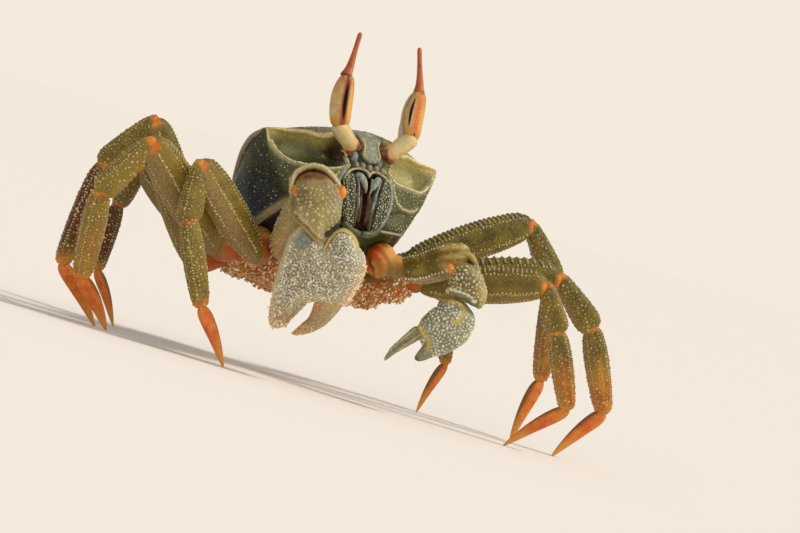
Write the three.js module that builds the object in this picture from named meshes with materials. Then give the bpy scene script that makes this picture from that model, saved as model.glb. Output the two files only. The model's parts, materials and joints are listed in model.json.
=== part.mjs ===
// Horned ghost crab, standing on its eight walking legs with the larger claw hanging
// before the mouth and the smaller claw held low to the other side.
// Millimetres. +Z up, the crab faces -Y, its own left side is +X, the floor is z = 0.
import * as THREE from 'three';

// ---------- Driving sizes ----------
const GAP = 0.3; // clear space left between two neighbouring parts
const BODY_HEIGHT = 46.4; // height of the body's middle above the floor
const BODY_PITCH = 28; // front of the body raised, degrees
const BODY_ROLL = 2.8; // left side of the body raised, degrees

const SHELL_HALF = 22; // half width between the corners outside the eyes
const SHELL_FRONT = 18.5; // front edge, ahead of the body's middle
const SHELL_CORNER = 12; // outer front corners, ahead of the body's middle
const SHELL_REAR = -19.5; // rear edge
const SHELL_ARCH = 1.9; // rise of the front edge above the corners
const SHELL_DEPTH = 19.5; // side edge down to the underside
const ORBIT_DEPTH = 3.2; // hollow that holds each folded eye
const MOUTH_HALF = 7.2; // half width of the mouth frame
const FACE_SIDES = 40; // facets round the body

const TIP_FLAT = 0.55; // half width of the flat under each foot

// Walking legs, front pair to last: the length of each segment, then the half sizes across the
// widest of them, in the plane of the leg (deep) and through it (thick)
const LEG_PAIRS = {
  2: { base: 9.8, merus: 25.2, carpus: 11.5, propodus: 19.0, dactyl: 14.4, deep: 4.1, thick: 2.3 },
  3: { base: 11.6, merus: 31.0, carpus: 14.3, propodus: 20.0, dactyl: 14.4, deep: 4.5, thick: 2.5 },
  4: { base: 12.0, merus: 31.6, carpus: 14.0, propodus: 22.6, dactyl: 15.0, deep: 4.2, thick: 2.4 },
  5: { base: 8.6, merus: 19.9, carpus: 9.5, propodus: 15.1, dactyl: 12.3, deep: 3.1, thick: 2.0 },
};

// Where each leg leaves the body: out to the side, ahead, and down
const HIPS = {
  2: [14.6, 1.2, -20.3],
  3: [14.9, -4.4, -20.3],
  4: [14.2, -9.8, -19.2],
  5: [12.0, -14.8, -17.6],
};

// Stance of each leg. head: degrees ahead of straight sideways. rise: degrees above level,
// past -90 the segment turns back under the body. lean: the leg's plane tips forward.
const STANCE = {
  right_2: { baseHead: 53, baseRise: -27, head: 8, lean: -6, rise: [37, -93, -118, -132] },
  right_3: { baseHead: 21, baseRise: -14, head: 1, lean: 18, rise: [36, -65, -103, -139] },
  right_4: { baseHead: 4, baseRise: -29, head: -9, lean: -1, rise: [56, -55, -83, -137] },
  right_5: { baseHead: -43, baseRise: -4, head: -45, lean: -4, rise: [35, -66, -85, -122] },
  left_2: { baseHead: 30, baseRise: -10, head: 31, lean: 14, rise: [18, -50, -57, -126] },
  left_3: { baseHead: 26, baseRise: 12, head: 13, lean: 6, rise: [16, -36, -60, -123] },
  left_4: { baseHead: 16, baseRise: 29, head: 4, lean: -1, rise: [30, -45, -80, -102] },
  left_5: { baseHead: 0, baseRise: 10, head: -6, lean: 3, rise: [24, -57, -67, -107] },
};

// Eye joints, measured from the foot of the stalk: out to the side, back, and up
const EYES = {
  right: { bulb: [4.1, 0.7, 3.4], top: [5.4, 1.6, 14.6], bend: [5.0, 2.6, 19.2], horn: [4.45, 3.3, 23.7] },
  left: { bulb: [3.9, -0.2, 4.9], top: [3.95, 1.6, 15.4], bend: [3.2, 2.9, 20.3], horn: [2.2, 4.1, 24.2] },
};
const EYE_FOOT = [4.5, 18.6, -3.2];
const STALK_HALF = 1.85;
const BULB_HALF = 2.5;
const HORN_HALF = 1.0;

// ---------- Small tools ----------
const rad = THREE.MathUtils.degToRad;
const V = (x, y, z) => new THREE.Vector3(x, y, z);
const lerp = THREE.MathUtils.lerp;

// Body frame (side, ahead, up) to the standing crab
function fromBody(side, ahead, up) {
  const p = V(side, -ahead, up);
  p.applyAxisAngle(V(0, 1, 0), -rad(BODY_ROLL));
  p.applyAxisAngle(V(1, 0, 0), -rad(BODY_PITCH));
  return p.add(V(0, 0, BODY_HEIGHT));
}

// Value of a table of [t, value, value...] rows at t, row to row in straight lines
function profile(rows, t, column) {
  let i = 1;
  while (i < rows.length - 1 && rows[i][0] < t) i += 1;
  const [a, b] = [rows[i - 1], rows[i]];
  const k = THREE.MathUtils.clamp((t - a[0]) / (b[0] - a[0]), 0, 1);
  return lerp(a[column], b[column], k);
}

// Closed skin over a run of rings with the same number of points, ended by two poles
function skin(rings, startPole, endPole) {
  const sides = rings[0].length;
  const points = [startPole, ...rings.flat(), endPole];
  const last = points.length - 1;
  const faces = [];
  for (let k = 0; k < sides; k += 1) {
    const next = (k + 1) % sides;
    faces.push(0, 1 + next, 1 + k);
    for (let r = 0; r + 1 < rings.length; r += 1) {
      const a = 1 + r * sides;
      const b = a + sides;
      faces.push(a + k, a + next, b + next);
      faces.push(a + k, b + next, b + k);
    }
    const end = 1 + (rings.length - 1) * sides;
    faces.push(end + k, end + next, last);
  }
  let volume = 0;
  for (let i = 0; i < faces.length; i += 3) {
    const [a, b, c] = [points[faces[i]], points[faces[i + 1]], points[faces[i + 2]]];
    volume += V().crossVectors(a, b).dot(c);
  }
  const shape = new THREE.BufferGeometry();
  shape.setAttribute('position', new THREE.Float32BufferAttribute(points.flatMap((p) => p.toArray()), 3));
  shape.setIndex(volume > 0 ? faces : faces.reverse());
  shape.computeVertexNormals();
  return shape;
}

// Keeps a shape on its own side of a joint: whatever passes the plane is laid on it
function clampTo(shape, point, normal) {
  const position = shape.getAttribute('position');
  for (let i = 0; i < position.count; i += 1) {
    const p = V().fromBufferAttribute(position, i);
    const past = p.clone().sub(point).dot(normal) + GAP / 2;
    if (past > 0) {
      p.addScaledVector(normal, -past);
      position.setXYZ(i, ...p.toArray());
    }
  }
  return shape;
}

// One limb segment along a line of centres. rows: [t, half deep, half thick, shift deep, shift thick]
function segment(from, to, deepAxis, rows, sides, power, bow = 0) {
  const along = to.clone().sub(from);
  const axis = along.clone().normalize();
  const thickAxis = V().crossVectors(axis, deepAxis).normalize();
  const deep = V().crossVectors(thickAxis, axis).normalize();
  const centre = (row) => {
    const [t, , , shiftDeep = 0, shiftThick = 0] = row;
    const c = from.clone().addScaledVector(along, t);
    c.addScaledVector(deep, shiftDeep + bow * Math.sin(Math.PI * THREE.MathUtils.clamp(t, 0, 1)));
    return c.addScaledVector(thickAxis, shiftThick);
  };
  const rings = rows.slice(1, -1).map((row) => {
    const c = centre(row);
    const ring = [];
    for (let k = 0; k < sides; k += 1) {
      const turn = (2 * Math.PI * (k + 0.5)) / sides;
      const x = Math.sign(Math.cos(turn)) * Math.abs(Math.cos(turn)) ** (2 / power);
      const y = Math.sign(Math.sin(turn)) * Math.abs(Math.sin(turn)) ** (2 / power);
      ring.push(c.clone().addScaledVector(deep, x * row[1]).addScaledVector(thickAxis, y * row[2]));
    }
    return ring;
  });
  return skin(rings, centre(rows[0]), centre(rows[rows.length - 1]));
}

// ---------- Colours ----------
const COLOURS = {
  shell: [0x5d6a35, 0.45],
  leg: [0x6f7238, 0.5],
  orange: [0xd9641c, 0.4],
  claw: [0x9a9c84, 0.6],
  cream: [0xe2c88c, 0.4],
  eye: [0xd98f2c, 0.15],
  horn: [0xc04a22, 0.35],
};

const group = new THREE.Group();
group.name = 'horned_ghost_crab';

function add(name, shape, colour) {
  const [tone, roughness] = COLOURS[colour];
  const material = new THREE.MeshStandardMaterial({ color: tone, roughness, metalness: 0 });
  material.name = colour;
  const mesh = new THREE.Mesh(shape, material);
  mesh.name = name;
  group.add(mesh);
}

// ---------- Body ----------
// Side edge of the shell from rear to front: ahead, half width, height, arch, under width, under height
const SHELL_ROWS = [
  [0.0, 7.5, -8.5, 2.0, 6.0, -13.5],
  [0.12, 12.0, -9.0, 4.2, 9.5, -17.0],
  [0.28, 15.6, -8.2, 6.6, 12.6, -19.0],
  [0.48, 19.0, -5.0, 6.0, 14.2, -SHELL_DEPTH],
  [0.7, 21.6, -2.0, 4.6, 14.8, -SHELL_DEPTH],
  [0.86, 22.6, -0.6, SHELL_ARCH + 1.3, 14.0, -18.8],
  [1.0, SHELL_HALF, 0, SHELL_ARCH, 12.6, -17.6],
];

// How far ahead the face stands at a place on it
function faceAhead(side, up) {
  const reach = THREE.MathUtils.clamp(Math.abs(side) / 17, 0, 1) ** 1.3;
  const slope = up < -9 ? (up + 9) * 0.36 : 0;
  return SHELL_FRONT - (SHELL_FRONT - SHELL_CORNER) * reach + slope * (1 - 0.6 * reach);
}

// Dents and ridges of the face: the two eye hollows, their lower rims and the mouth frame
function faceRelief(side, up) {
  const x = Math.abs(side);
  const middle = 12.6;
  const level = -3.6 - 0.16 * (x - middle) * Math.sign(middle - x);
  const away = Math.hypot((x - middle) / 7.8, (up - level) / 4.3);
  const hollow = -ORBIT_DEPTH * Math.max(0, 1 - away ** 2) ** 0.8;
  const mouth = x < MOUTH_HALF - 0.6 && up < -9 && up > -18.5 ? -1.6 : 0;
  return hollow + mouth;
}

// One ring round the body, from the middle of the back down the left side to the underside and round
function bodySection(t) {
  const [half, edge, arch, under, floor] = [1, 2, 3, 4, 5].map((c) => profile(SHELL_ROWS, t, c));
  const outline = [];
  const quarter = FACE_SIDES / 4;
  for (let k = 0; k <= quarter; k += 1) {
    const s = Math.sin((Math.PI / 2) * (k / quarter));
    outline.push([half * s, edge + arch * (1 - s ** 2.6)]);
  }
  const wall = quarter / 2;
  for (let k = 1; k <= wall; k += 1) {
    const s = k / wall;
    const bulge = Math.sin(Math.PI * s) * 0.7 + (1 - t) * 1.6 * Math.sin(Math.PI * s);
    outline.push([lerp(half, under, s ** 1.35) + bulge, lerp(edge, floor, s)]);
  }
  const rest = quarter * 2 - quarter - wall;
  for (let k = 1; k <= rest; k += 1) {
    const s = k / rest;
    outline.push([under * (1 - s), floor - 1.4 * Math.sin((Math.PI / 2) * s)]);
  }
  return outline;
}

function mirrorRing(outline, place) {
  const left = outline.map(([x, y]) => place(x, y));
  const right = outline.slice(1, -1).map(([x, y]) => place(-x, y));
  return [...left, ...right.reverse()];
}

function makeBody() {
  const rings = [];
  const stations = [0, 0.06, 0.12, 0.2, 0.28, 0.38, 0.48, 0.6, 0.7, 0.8, 0.88, 0.95, 1];
  for (const t of stations) {
    rings.push(mirrorRing(bodySection(t), (x, y) => {
      const flatAhead = lerp(SHELL_REAR, SHELL_CORNER, t);
      const curved = lerp(SHELL_REAR, faceAhead(x, y), t);
      const round = t < 0.2 ? (0.2 - t) * 14 * (Math.abs(x) / 20) : 0;
      return fromBody(x, lerp(flatAhead, curved, THREE.MathUtils.smoothstep(t, 0.3, 1)) + round, y);
    }));
  }
  const front = bodySection(1);
  const heart = -8.6;
  for (const size of [0.955, 0.86, 0.72, 0.56, 0.4, 0.22]) {
    rings.push(mirrorRing(front, (x, y) => {
      const [side, up] = [x * size, heart + (y - heart) * size];
      return fromBody(side, faceAhead(side, up) + faceRelief(side, up), up);
    }));
  }
  const rear = fromBody(0, SHELL_REAR - 0.6, -10.5);
  const nose = fromBody(0, faceAhead(0, heart), heart);
  return skin(rings, rear, nose);
}

add('carapace', makeBody(), 'shell');

// Narrow plate bent down between the eyes
function makeRostrum() {
  const top = fromBody(0, SHELL_FRONT + 0.7, 0.7);
  const tip = fromBody(0, SHELL_FRONT + 1.0, -6.0);
  const rows = [
    [0, 0, 0],
    [0.02, 0.45, 3.4],
    [0.14, 0.55, 2.8],
    [0.3, 0.6, 2.2],
    [0.46, 0.6, 2.1],
    [0.64, 0.6, 2.4],
    [0.8, 0.6, 2.2],
    [0.93, 0.55, 1.5],
    [0.99, 0.4, 0.8],
    [1, 0, 0],
  ];
  return segment(top, tip, fromBody(0, 1, 0).sub(fromBody(0, 0, 0)), rows, 10, 2.6);
}

add('rostrum', makeRostrum(), 'shell');

// Outer mouth plates, side by side under the mouth frame
function makeMouthPlate(side) {
  const half = 2.0;
  const top = fromBody(side * (MOUTH_HALF - 3.0), SHELL_FRONT + 0.1, -9.4);
  const low = fromBody(side * (MOUTH_HALF - 3.9), SHELL_FRONT - 3.1, -19.0);
  const ahead = fromBody(0, 1, 0).sub(fromBody(0, 0, 0));
  const rows = [
    [0, 0, 0],
    [0.02, 0.5, half * 0.55],
    [0.12, 0.8, half * 0.86],
    [0.35, 0.95, half],
    [0.65, 0.95, half * 0.96],
    [0.88, 0.8, half * 0.72],
    [0.99, 0.5, half * 0.35],
    [1, 0, 0],
  ];
  return segment(top, low, ahead, rows, 10, 2.6);
}

// ---------- Eyes ----------
const STALK_ROWS = [
  [0, 0, 0],
  [0.02, 0.75, 0.75],
  [0.16, 1, 1],
  [0.3, 0.82, 0.82],
  [0.6, 0.9, 0.9],
  [0.9, 1.06, 1.06],
  [1.0, 0.7, 0.7],
  [1.02, 0, 0],
];
const BULB_ROWS = [
  [0, 0, 0],
  [0.01, 0.34, 0.34],
  [0.07, 0.62, 0.62, 0, -0.15],
  [0.18, 0.86, 0.86, 0, -0.3],
  [0.36, 1, 1, 0, -0.45],
  [0.56, 0.98, 0.98, 0, -0.5],
  [0.76, 0.8, 0.8, 0, -0.4],
  [0.92, 0.52, 0.52, 0, -0.15],
  [0.99, 0.38, 0.38],
  [1, 0, 0],
];

const scaled = (rows, deep, thick) => rows.map(([t, a, b, ...rest]) => [t, a * deep, b * thick, ...rest]);

function makeEye(name, side) {
  const foot = fromBody(side * EYE_FOOT[0], EYE_FOOT[1], EYE_FOOT[2]);
  const at = ([out, back, up]) => foot.clone().add(V(side * out, back, up));
  const pose = EYES[name];
  const [bulb, top, bend, horn] = [at(pose.bulb), at(pose.top), at(pose.bend), at(pose.horn)];
  const up = V(0, -1, 0.2);
  const joint = bulb.clone().sub(foot).normalize().add(top.clone().sub(bulb).normalize()).normalize();
  const stalk = segment(foot, bulb, up, scaled(STALK_ROWS, STALK_HALF, STALK_HALF), 12, 2);
  add(`eyestalk_${name}`, clampTo(stalk, bulb, joint), 'cream');
  const bulbShape = segment(bulb, top, up, scaled(BULB_ROWS, BULB_HALF, BULB_HALF * 0.96), 14, 2);
  clampTo(bulbShape, bulb, joint.clone().negate());
  const crown = horn.clone().sub(top).normalize();
  add(`eye_${name}`, clampTo(bulbShape, top, crown), 'eye');
  const path = new THREE.QuadraticBezierCurve3(top.clone().addScaledVector(crown, GAP / 2), bend, horn);
  const rings = [];
  const steps = 6;
  for (let i = 0; i <= steps; i += 1) {
    const t = i / steps;
    const c = path.getPoint(t);
    const axis = path.getTangent(t);
    const a = V().crossVectors(axis, V(0, 1, 0)).normalize();
    const b = V().crossVectors(axis, a).normalize();
    const half = HORN_HALF * lerp(1, 0.5, Math.min(1, t * 1.5)) * (i === steps ? 0.7 : 1);
    const ring = [];
    for (let k = 0; k < 8; k += 1) {
      const turn = (2 * Math.PI * k) / 8;
      ring.push(c.clone().addScaledVector(a, half * Math.cos(turn)).addScaledVector(b, half * Math.sin(turn)));
    }
    rings.push(ring);
  }
  const end = horn.clone().addScaledVector(path.getTangent(1), 0.25);
  add(`eye_horn_${name}`, skin(rings, path.getPoint(0), end), 'horn');
}

// ---------- Walking legs ----------
const BASE_ROWS = [
  [0, 0, 0],
  [0.01, 0.5, 0.62],
  [0.12, 0.66, 0.9],
  [0.34, 0.72, 1.0],
  [0.5, 0.6, 0.86],
  [0.75, 0.62, 0.9],
  [0.95, 0.5, 0.7],
  [1, 0, 0],
];
const MERUS_ROWS = [
  [0, 0, 0],
  [0.01, 0.42, 0.6],
  [0.08, 0.62, 0.82],
  [0.24, 0.86, 0.98],
  [0.48, 1, 1],
  [0.72, 0.97, 0.98],
  [0.88, 0.86, 0.95],
  [0.97, 0.7, 0.86],
  [1.03, 0.4, 0.5],
  [1.04, 0, 0],
];
const CARPUS_ROWS = [
  [-0.05, 0, 0],
  [-0.04, 0.34, 0.5],
  [0.08, 0.52, 0.78],
  [0.32, 0.6, 0.84],
  [0.68, 0.7, 0.86],
  [0.9, 0.68, 0.84],
  [1.0, 0.5, 0.62],
  [1.02, 0, 0],
];
const PROPODUS_ROWS = [
  [-0.02, 0, 0],
  [-0.01, 0.36, 0.5],
  [0.07, 0.56, 0.74],
  [0.3, 0.64, 0.78],
  [0.62, 0.6, 0.74],
  [0.88, 0.52, 0.66],
  [0.985, 0.42, 0.52],
  [1, 0, 0],
];
const DACTYL_ROWS = [
  [0, 0, 0],
  [0.01, 0.3, 0.4],
  [0.12, 0.4, 0.52],
  [0.36, 0.38, 0.5],
  [0.64, 0.3, 0.4],
  [0.86, 0.2, 0.28],
];

function legHeading(side, head, rise, lean) {
  const [h, r, l] = [rad(head), rad(rise), rad(lean)];
  const out = V(Math.cos(h), -Math.sin(h), 0);
  const ahead = V(Math.sin(h), -Math.cos(h), 0);
  const up = V(0, 0, Math.cos(l)).addScaledVector(ahead, Math.sin(l));
  const v = out.multiplyScalar(Math.cos(r)).addScaledVector(up, Math.sin(r));
  v.x *= side;
  return v;
}

// The foot: a tapering nail whose last ring lies on the floor as a small flat
function makeDactyl(from, to, deepAxis, deep, thick) {
  const rows = [...scaled(DACTYL_ROWS, deep, thick), [1, TIP_FLAT, TIP_FLAT], [1, 0, 0]];
  const shape = segment(from, to, deepAxis, rows, 8, 2, 0.5);
  const position = shape.getAttribute('position');
  const tipRing = position.count - 9;
  for (let i = 0; i < position.count; i += 1) {
    const grounded = i >= tipRing ? 0 : Math.max(position.getZ(i), 0.05);
    position.setZ(i, grounded);
  }
  return shape;
}

function bisector(a, b) {
  return a.clone().normalize().add(b.clone().normalize()).normalize();
}

const LEG_SEGMENTS = ['merus', 'carpus', 'propodus', 'dactyl'];
const LEG_ROWS = { merus: MERUS_ROWS, carpus: CARPUS_ROWS, propodus: PROPODUS_ROWS };

function makeLeg(sideName, side, pair) {
  const size = LEG_PAIRS[pair];
  const stance = STANCE[`${sideName}_${pair}`];
  const [x, ahead, up] = HIPS[pair];
  const joints = [fromBody(side * x, ahead, up)];
  const steps = [legHeading(side, stance.baseHead, stance.baseRise, 0).multiplyScalar(size.base)];
  LEG_SEGMENTS.forEach((name, i) => {
    steps.push(legHeading(side, stance.head, stance.rise[i], stance.lean).multiplyScalar(size[name]));
  });
  steps.forEach((step) => joints.push(joints[joints.length - 1].clone().add(step)));
  const flatLevel = joints[5];
  flatLevel.z = 0;
  steps[4] = flatLevel.clone().sub(joints[4]);
  const across = V().crossVectors(steps[1], steps[2]).normalize();
  const deepFor = (step) => V().crossVectors(across, step).normalize();
  const wall = fromBody(side, 0, -1).sub(fromBody(0, 0, 0)).normalize();
  const base = segment(joints[0], joints[1], deepFor(steps[0]), scaled(BASE_ROWS, size.deep, size.thick), 10, 2.2);
  clampTo(base, joints[0], wall.negate());
  add(`leg_${sideName}_${pair}_base`, clampTo(base, joints[1], bisector(steps[0], steps[1])), 'orange');
  LEG_SEGMENTS.forEach((name, i) => {
    const [from, to, step] = [joints[i + 1], joints[i + 2], steps[i + 1]];
    const last = name === 'dactyl';
    const shape = last
      ? makeDactyl(from, to, deepFor(step), size.deep, size.thick)
      : segment(from, to, deepFor(step), scaled(LEG_ROWS[name], size.deep, size.thick), 10, 2.5);
    clampTo(shape, from, bisector(steps[i], step).negate());
    if (!last) clampTo(shape, to, bisector(step, steps[i + 2]));
    add(`leg_${sideName}_${pair}_${name}`, shape, last ? 'orange' : 'leg');
  });
}

// ---------- Claws ----------
// Joints of each claw, shoulder to the tip of the fixed finger, standing on the floor: X, Y, Z.
// palmUp points from the fixed finger's edge of the palm to the hinge of the moving one.
const CLAWS = {
  right: {
    joints: [[-9.8, -16.2, 30.2], [-14.0, -18.2, 26.4], [-15.6, -26.3, 43.3], [-12.6, -29.6, 31.4], [-13.6, -26.5, 10.4]],
    palmUp: [0.857, -0.515, 0],
    size: 1,
    baseSize: 0.9,
    wristDeep: 1,
    wristWide: 1.27,
  },
  left: {
    joints: [[9.6, -16.5, 30.6], [16.6, -17.2, 30.4], [23.2, -29.6, 35.0], [25.6, -32.0, 27.0], [19.5, -28.7, 12.2]],
    palmUp: [-0.776, 0.467, 0.423],
    size: 0.72,
    baseSize: 1.2,
    wristDeep: 1.27,
    wristWide: 1.27,
  },
};
const CLAW_DEEP = 4.4;
const CLAW_THICK = 3.3;

const CLAW_CARPUS_ROWS = [
  [-0.16, 0, 0],
  [-0.14, 0.55, 0.5],
  [-0.04, 0.92, 0.86],
  [0.16, 1.14, 1.1],
  [0.42, 1.18, 1.2],
  [0.68, 1.08, 1.12],
  [0.88, 0.78, 0.86],
  [0.97, 0.46, 0.5],
  [1, 0, 0],
];
// Palm running on into its fixed finger: t, half height, half thickness, shift toward the hinge
const PALM_ROWS = {
  right: [
    [0, 0, 0, 1.8],
    [0.01, 5.0, 2.2, 1.9],
    [0.05, 7.6, 3.2, 2.2],
    [0.12, 8.7, 4.0, 2.3],
    [0.28, 8.6, 4.3, 2.5],
    [0.4, 8.3, 4.0, 2.6],
    [0.48, 7.7, 3.5, 2.4],
    [0.54, 4.9, 3.0, -0.2],
    [0.62, 4.1, 2.6, -0.5],
    [0.72, 3.4, 2.2, -0.6],
    [0.82, 2.7, 1.8, -0.55],
    [0.91, 2.0, 1.4, -0.4],
    [0.965, 1.2, 0.9, -0.6],
    [0.975, 0, 0, -0.6],
  ],
  left: [
    [0, 0, 0, 0],
    [0.02, 2.3, 1.7, 0],
    [0.08, 3.6, 2.5, 0.1],
    [0.22, 4.5, 3.1, -0.1],
    [0.4, 4.8, 3.3, -0.3],
    [0.54, 4.6, 3.0, -0.3],
    [0.62, 3.2, 2.5, -1.6],
    [0.72, 1.8, 1.9, -1.5],
    [0.86, 1.4, 1.4, -1.1],
    [1.0, 1.0, 1.0, -0.6],
    [1.12, 0.6, 0.6, 0],
    [1.14, 0, 0, 0],
  ],
};
const FINGER_ROWS = {
  right: [
    [0.56, 0, 0, 7.5],
    [0.565, 2.7, 2.0, 7.5],
    [0.64, 2.4, 2.1, 7.2],
    [0.73, 1.95, 1.9, 6.95],
    [0.81, 1.7, 1.5, 5.95],
    [0.88, 1.3, 1.1, 4.9],
    [0.925, 0.6, 0.6, 3.9],
    [0.93, 0, 0, 3.8],
  ],
  left: [
    [0.66, 0, 0, 2.8],
    [0.665, 1.5, 1.4, 2.8],
    [0.76, 1.7, 1.6, 3.1],
    [0.94, 1.4, 1.3, 3.9],
    [1.1, 1.0, 0.95, 4.5],
    [1.24, 0.6, 0.6, 4.9],
    [1.28, 0, 0, 4.9],
  ],
};

function makeClaw(name) {
  const { joints, palmUp, size, baseSize, wristDeep, wristWide } = CLAWS[name];
  const [hip, elbow, knee, wrist, tip] = joints.map((j) => V(...j));
  const [reach, upper, lower, hand] = [elbow, knee, wrist, tip].map((end, i) => {
    return end.clone().sub([hip, elbow, knee, wrist][i]);
  });
  const across = V().crossVectors(upper, lower).normalize();
  const deepFor = (step) => V().crossVectors(across, step).normalize();
  const [deep, thick] = [CLAW_DEEP * size, CLAW_THICK * size];
  const base = segment(hip, elbow, deepFor(reach), scaled(BASE_ROWS, deep * baseSize, thick * baseSize), 10, 2.2);
  clampTo(base, elbow, bisector(reach, upper));
  add(`claw_${name}_base`, base, 'orange');
  const merus = segment(elbow, knee, deepFor(upper), scaled(MERUS_ROWS, deep, thick), 10, 2.5);
  clampTo(merus, elbow, bisector(reach, upper).negate());
  add(`claw_${name}_merus`, clampTo(merus, knee, bisector(upper, lower)), 'claw');
  const carpusRows = scaled(CLAW_CARPUS_ROWS, thick * 1.1 * wristDeep, deep * wristWide);
  const carpus = segment(knee, wrist, deepFor(lower), carpusRows, 12, 2.3);
  clampTo(carpus, knee, bisector(upper, lower).negate());
  add(`claw_${name}_carpus`, clampTo(carpus, wrist, bisector(lower, hand)), 'claw');
  const palm = segment(wrist, tip, V(...palmUp), PALM_ROWS[name], 16, 2.4);
  add(`claw_${name}_palm`, clampTo(palm, wrist, bisector(lower, hand).negate()), 'claw');
  add(`claw_${name}_finger`, segment(wrist, tip, V(...palmUp), FINGER_ROWS[name], 12, 2.2), 'claw');
}

for (const [name, side] of [['right', -1], ['left', 1]]) {
  add(`mouth_plate_${name}`, makeMouthPlate(side), 'shell');
  makeEye(name, side);
  makeClaw(name);
  for (const pair of [2, 3, 4, 5]) makeLeg(name, side, pair);
}

// The row's origin is the middle of the crab's own box, on the floor
const box = new THREE.Box3().setFromObject(group);
const middle = box.getCenter(V());
for (const mesh of group.children) mesh.geometry.translate(-middle.x, -middle.y, 0);

export default group;
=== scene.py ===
# %% [markdown]
# # A horned ghost crab, life size
# The crab's solids come packed as a fixed frame, one solid for each body part. This file gives
# them their looks: a finer shape for each plate and limb, its beads and ridges, and its colours.
# Every visible piece stands where its solid stands. Lengths inside the helpers are millimetres,
# because an edit on pieces this small is easier to read that way, and each finished piece is
# brought to metres when it is set in place.

# %% Load the frame
import json
import math
import bmesh
import bpy
import numpy as np
from mathutils import Matrix, Vector
from mathutils.bvhtree import BVHTree

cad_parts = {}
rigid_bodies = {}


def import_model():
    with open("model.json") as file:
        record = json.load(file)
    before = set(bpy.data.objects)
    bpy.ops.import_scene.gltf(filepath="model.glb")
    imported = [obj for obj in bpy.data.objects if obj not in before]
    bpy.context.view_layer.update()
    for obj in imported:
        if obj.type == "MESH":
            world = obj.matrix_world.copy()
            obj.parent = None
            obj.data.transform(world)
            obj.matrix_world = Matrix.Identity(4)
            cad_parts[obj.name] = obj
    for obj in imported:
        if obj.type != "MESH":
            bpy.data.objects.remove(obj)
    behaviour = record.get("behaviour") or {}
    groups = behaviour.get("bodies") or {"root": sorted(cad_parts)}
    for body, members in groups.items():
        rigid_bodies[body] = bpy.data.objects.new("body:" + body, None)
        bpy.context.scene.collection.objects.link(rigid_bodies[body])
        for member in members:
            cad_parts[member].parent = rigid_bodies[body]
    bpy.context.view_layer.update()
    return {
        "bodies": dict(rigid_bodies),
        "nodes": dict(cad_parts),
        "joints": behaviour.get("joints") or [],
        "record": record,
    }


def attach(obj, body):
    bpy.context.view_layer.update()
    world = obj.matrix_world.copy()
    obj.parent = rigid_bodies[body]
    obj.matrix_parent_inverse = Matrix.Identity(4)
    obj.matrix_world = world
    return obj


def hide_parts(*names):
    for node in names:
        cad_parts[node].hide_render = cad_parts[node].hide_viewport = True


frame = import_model()
MM = 0.001
print("solids:", len(frame["nodes"]))

# %% [markdown]
# ## Where the crab's body stands
# A crab is easiest to describe in its own body: so far to its side, so far ahead and so far up
# from the middle of the shell. The body itself is tipped back and leans a little, so one matrix
# carries such a place to the standing crab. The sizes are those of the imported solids.

# %% The body's own frame
BODY_HEIGHT = 46.4
BODY_PITCH = math.radians(28)
BODY_ROLL = math.radians(2.8)
BOX_MIDDLE = Vector((9.804, -4.762, 0))

TURN = Matrix.Rotation(-BODY_PITCH, 4, "X") @ Matrix.Rotation(-BODY_ROLL, 4, "Y")
BODY = Matrix.Translation(Vector((0, 0, BODY_HEIGHT)) - BOX_MIDDLE) @ TURN @ Matrix.Scale(-1, 4, (0, 1, 0))


def body_point(side, ahead, up):
    """A place on the body, in millimetres of the model's frame."""
    return BODY @ Vector((side, ahead, up))


# %% [markdown]
# ## Small tools
# Blender's operators act on whatever is selected, so every step starts by selecting one object
# alone. The loft below is the tool used most: a disc is added, then its cap is pulled out and
# resized again and again, as one would draw a limb by hand. A subdivision surface rounds it.

# %% Select, edit and finish
rng = np.random.default_rng(7)


def only(piece):
    """Select one object alone and make it the active one."""
    if bpy.context.mode != "OBJECT":
        bpy.ops.object.mode_set(mode="OBJECT")
    bpy.ops.object.select_all(action="DESELECT")
    piece.select_set(True)
    bpy.context.view_layer.objects.active = piece
    return piece


def apply_modifier(piece, kind, **settings):
    """Add one modifier, set it and apply it."""
    only(piece)
    modifier = piece.modifiers.new(kind.title(), kind)
    for name, value in settings.items():
        setattr(modifier, name, value)
    bpy.ops.object.modifier_apply(modifier=modifier.name)
    return piece


def rounded(piece, levels):
    """Round a cage with a subdivision surface."""
    return apply_modifier(piece, "SUBSURF", levels=levels, render_levels=levels)


def points_of(piece):
    """The vertices as an array, one row each."""
    co = np.empty(len(piece.data.vertices) * 3, np.float64)
    piece.data.vertices.foreach_get("co", co)
    return co.reshape(-1, 3)


def set_points(piece, co):
    """Write the vertices back."""
    piece.data.vertices.foreach_set("co", np.ascontiguousarray(co, np.float32).ravel())
    piece.data.update()


def mark(piece, name, values):
    """Store one number on each vertex, for a material to read."""
    data = piece.data.attributes
    layer = data.get(name) or data.new(name, "FLOAT", "POINT")
    layer.data.foreach_set("value",
                           np.broadcast_to(np.asarray(values, np.float32),
                                           len(piece.data.vertices)).copy())


def mark_all(piece, labels, value=0.0):
    """Give several marks one value."""
    for label in labels:
        mark(piece, label, value)


def outward(piece):
    """Turn every face of a closed piece to look outwards."""
    only(piece)
    bpy.ops.object.mode_set(mode="EDIT")
    bpy.ops.mesh.select_all(action="SELECT")
    bpy.ops.mesh.normals_make_consistent(inside=False)
    bpy.ops.object.mode_set(mode="OBJECT")
    return piece


def place(piece, matrix):
    """Carry a piece modelled in millimetres to its place in metres."""
    piece.data.transform(Matrix.Scale(MM, 4) @ matrix)
    if matrix.determinant() < 0:
        piece.data.flip_normals()
    piece.data.update()
    return piece


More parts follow.
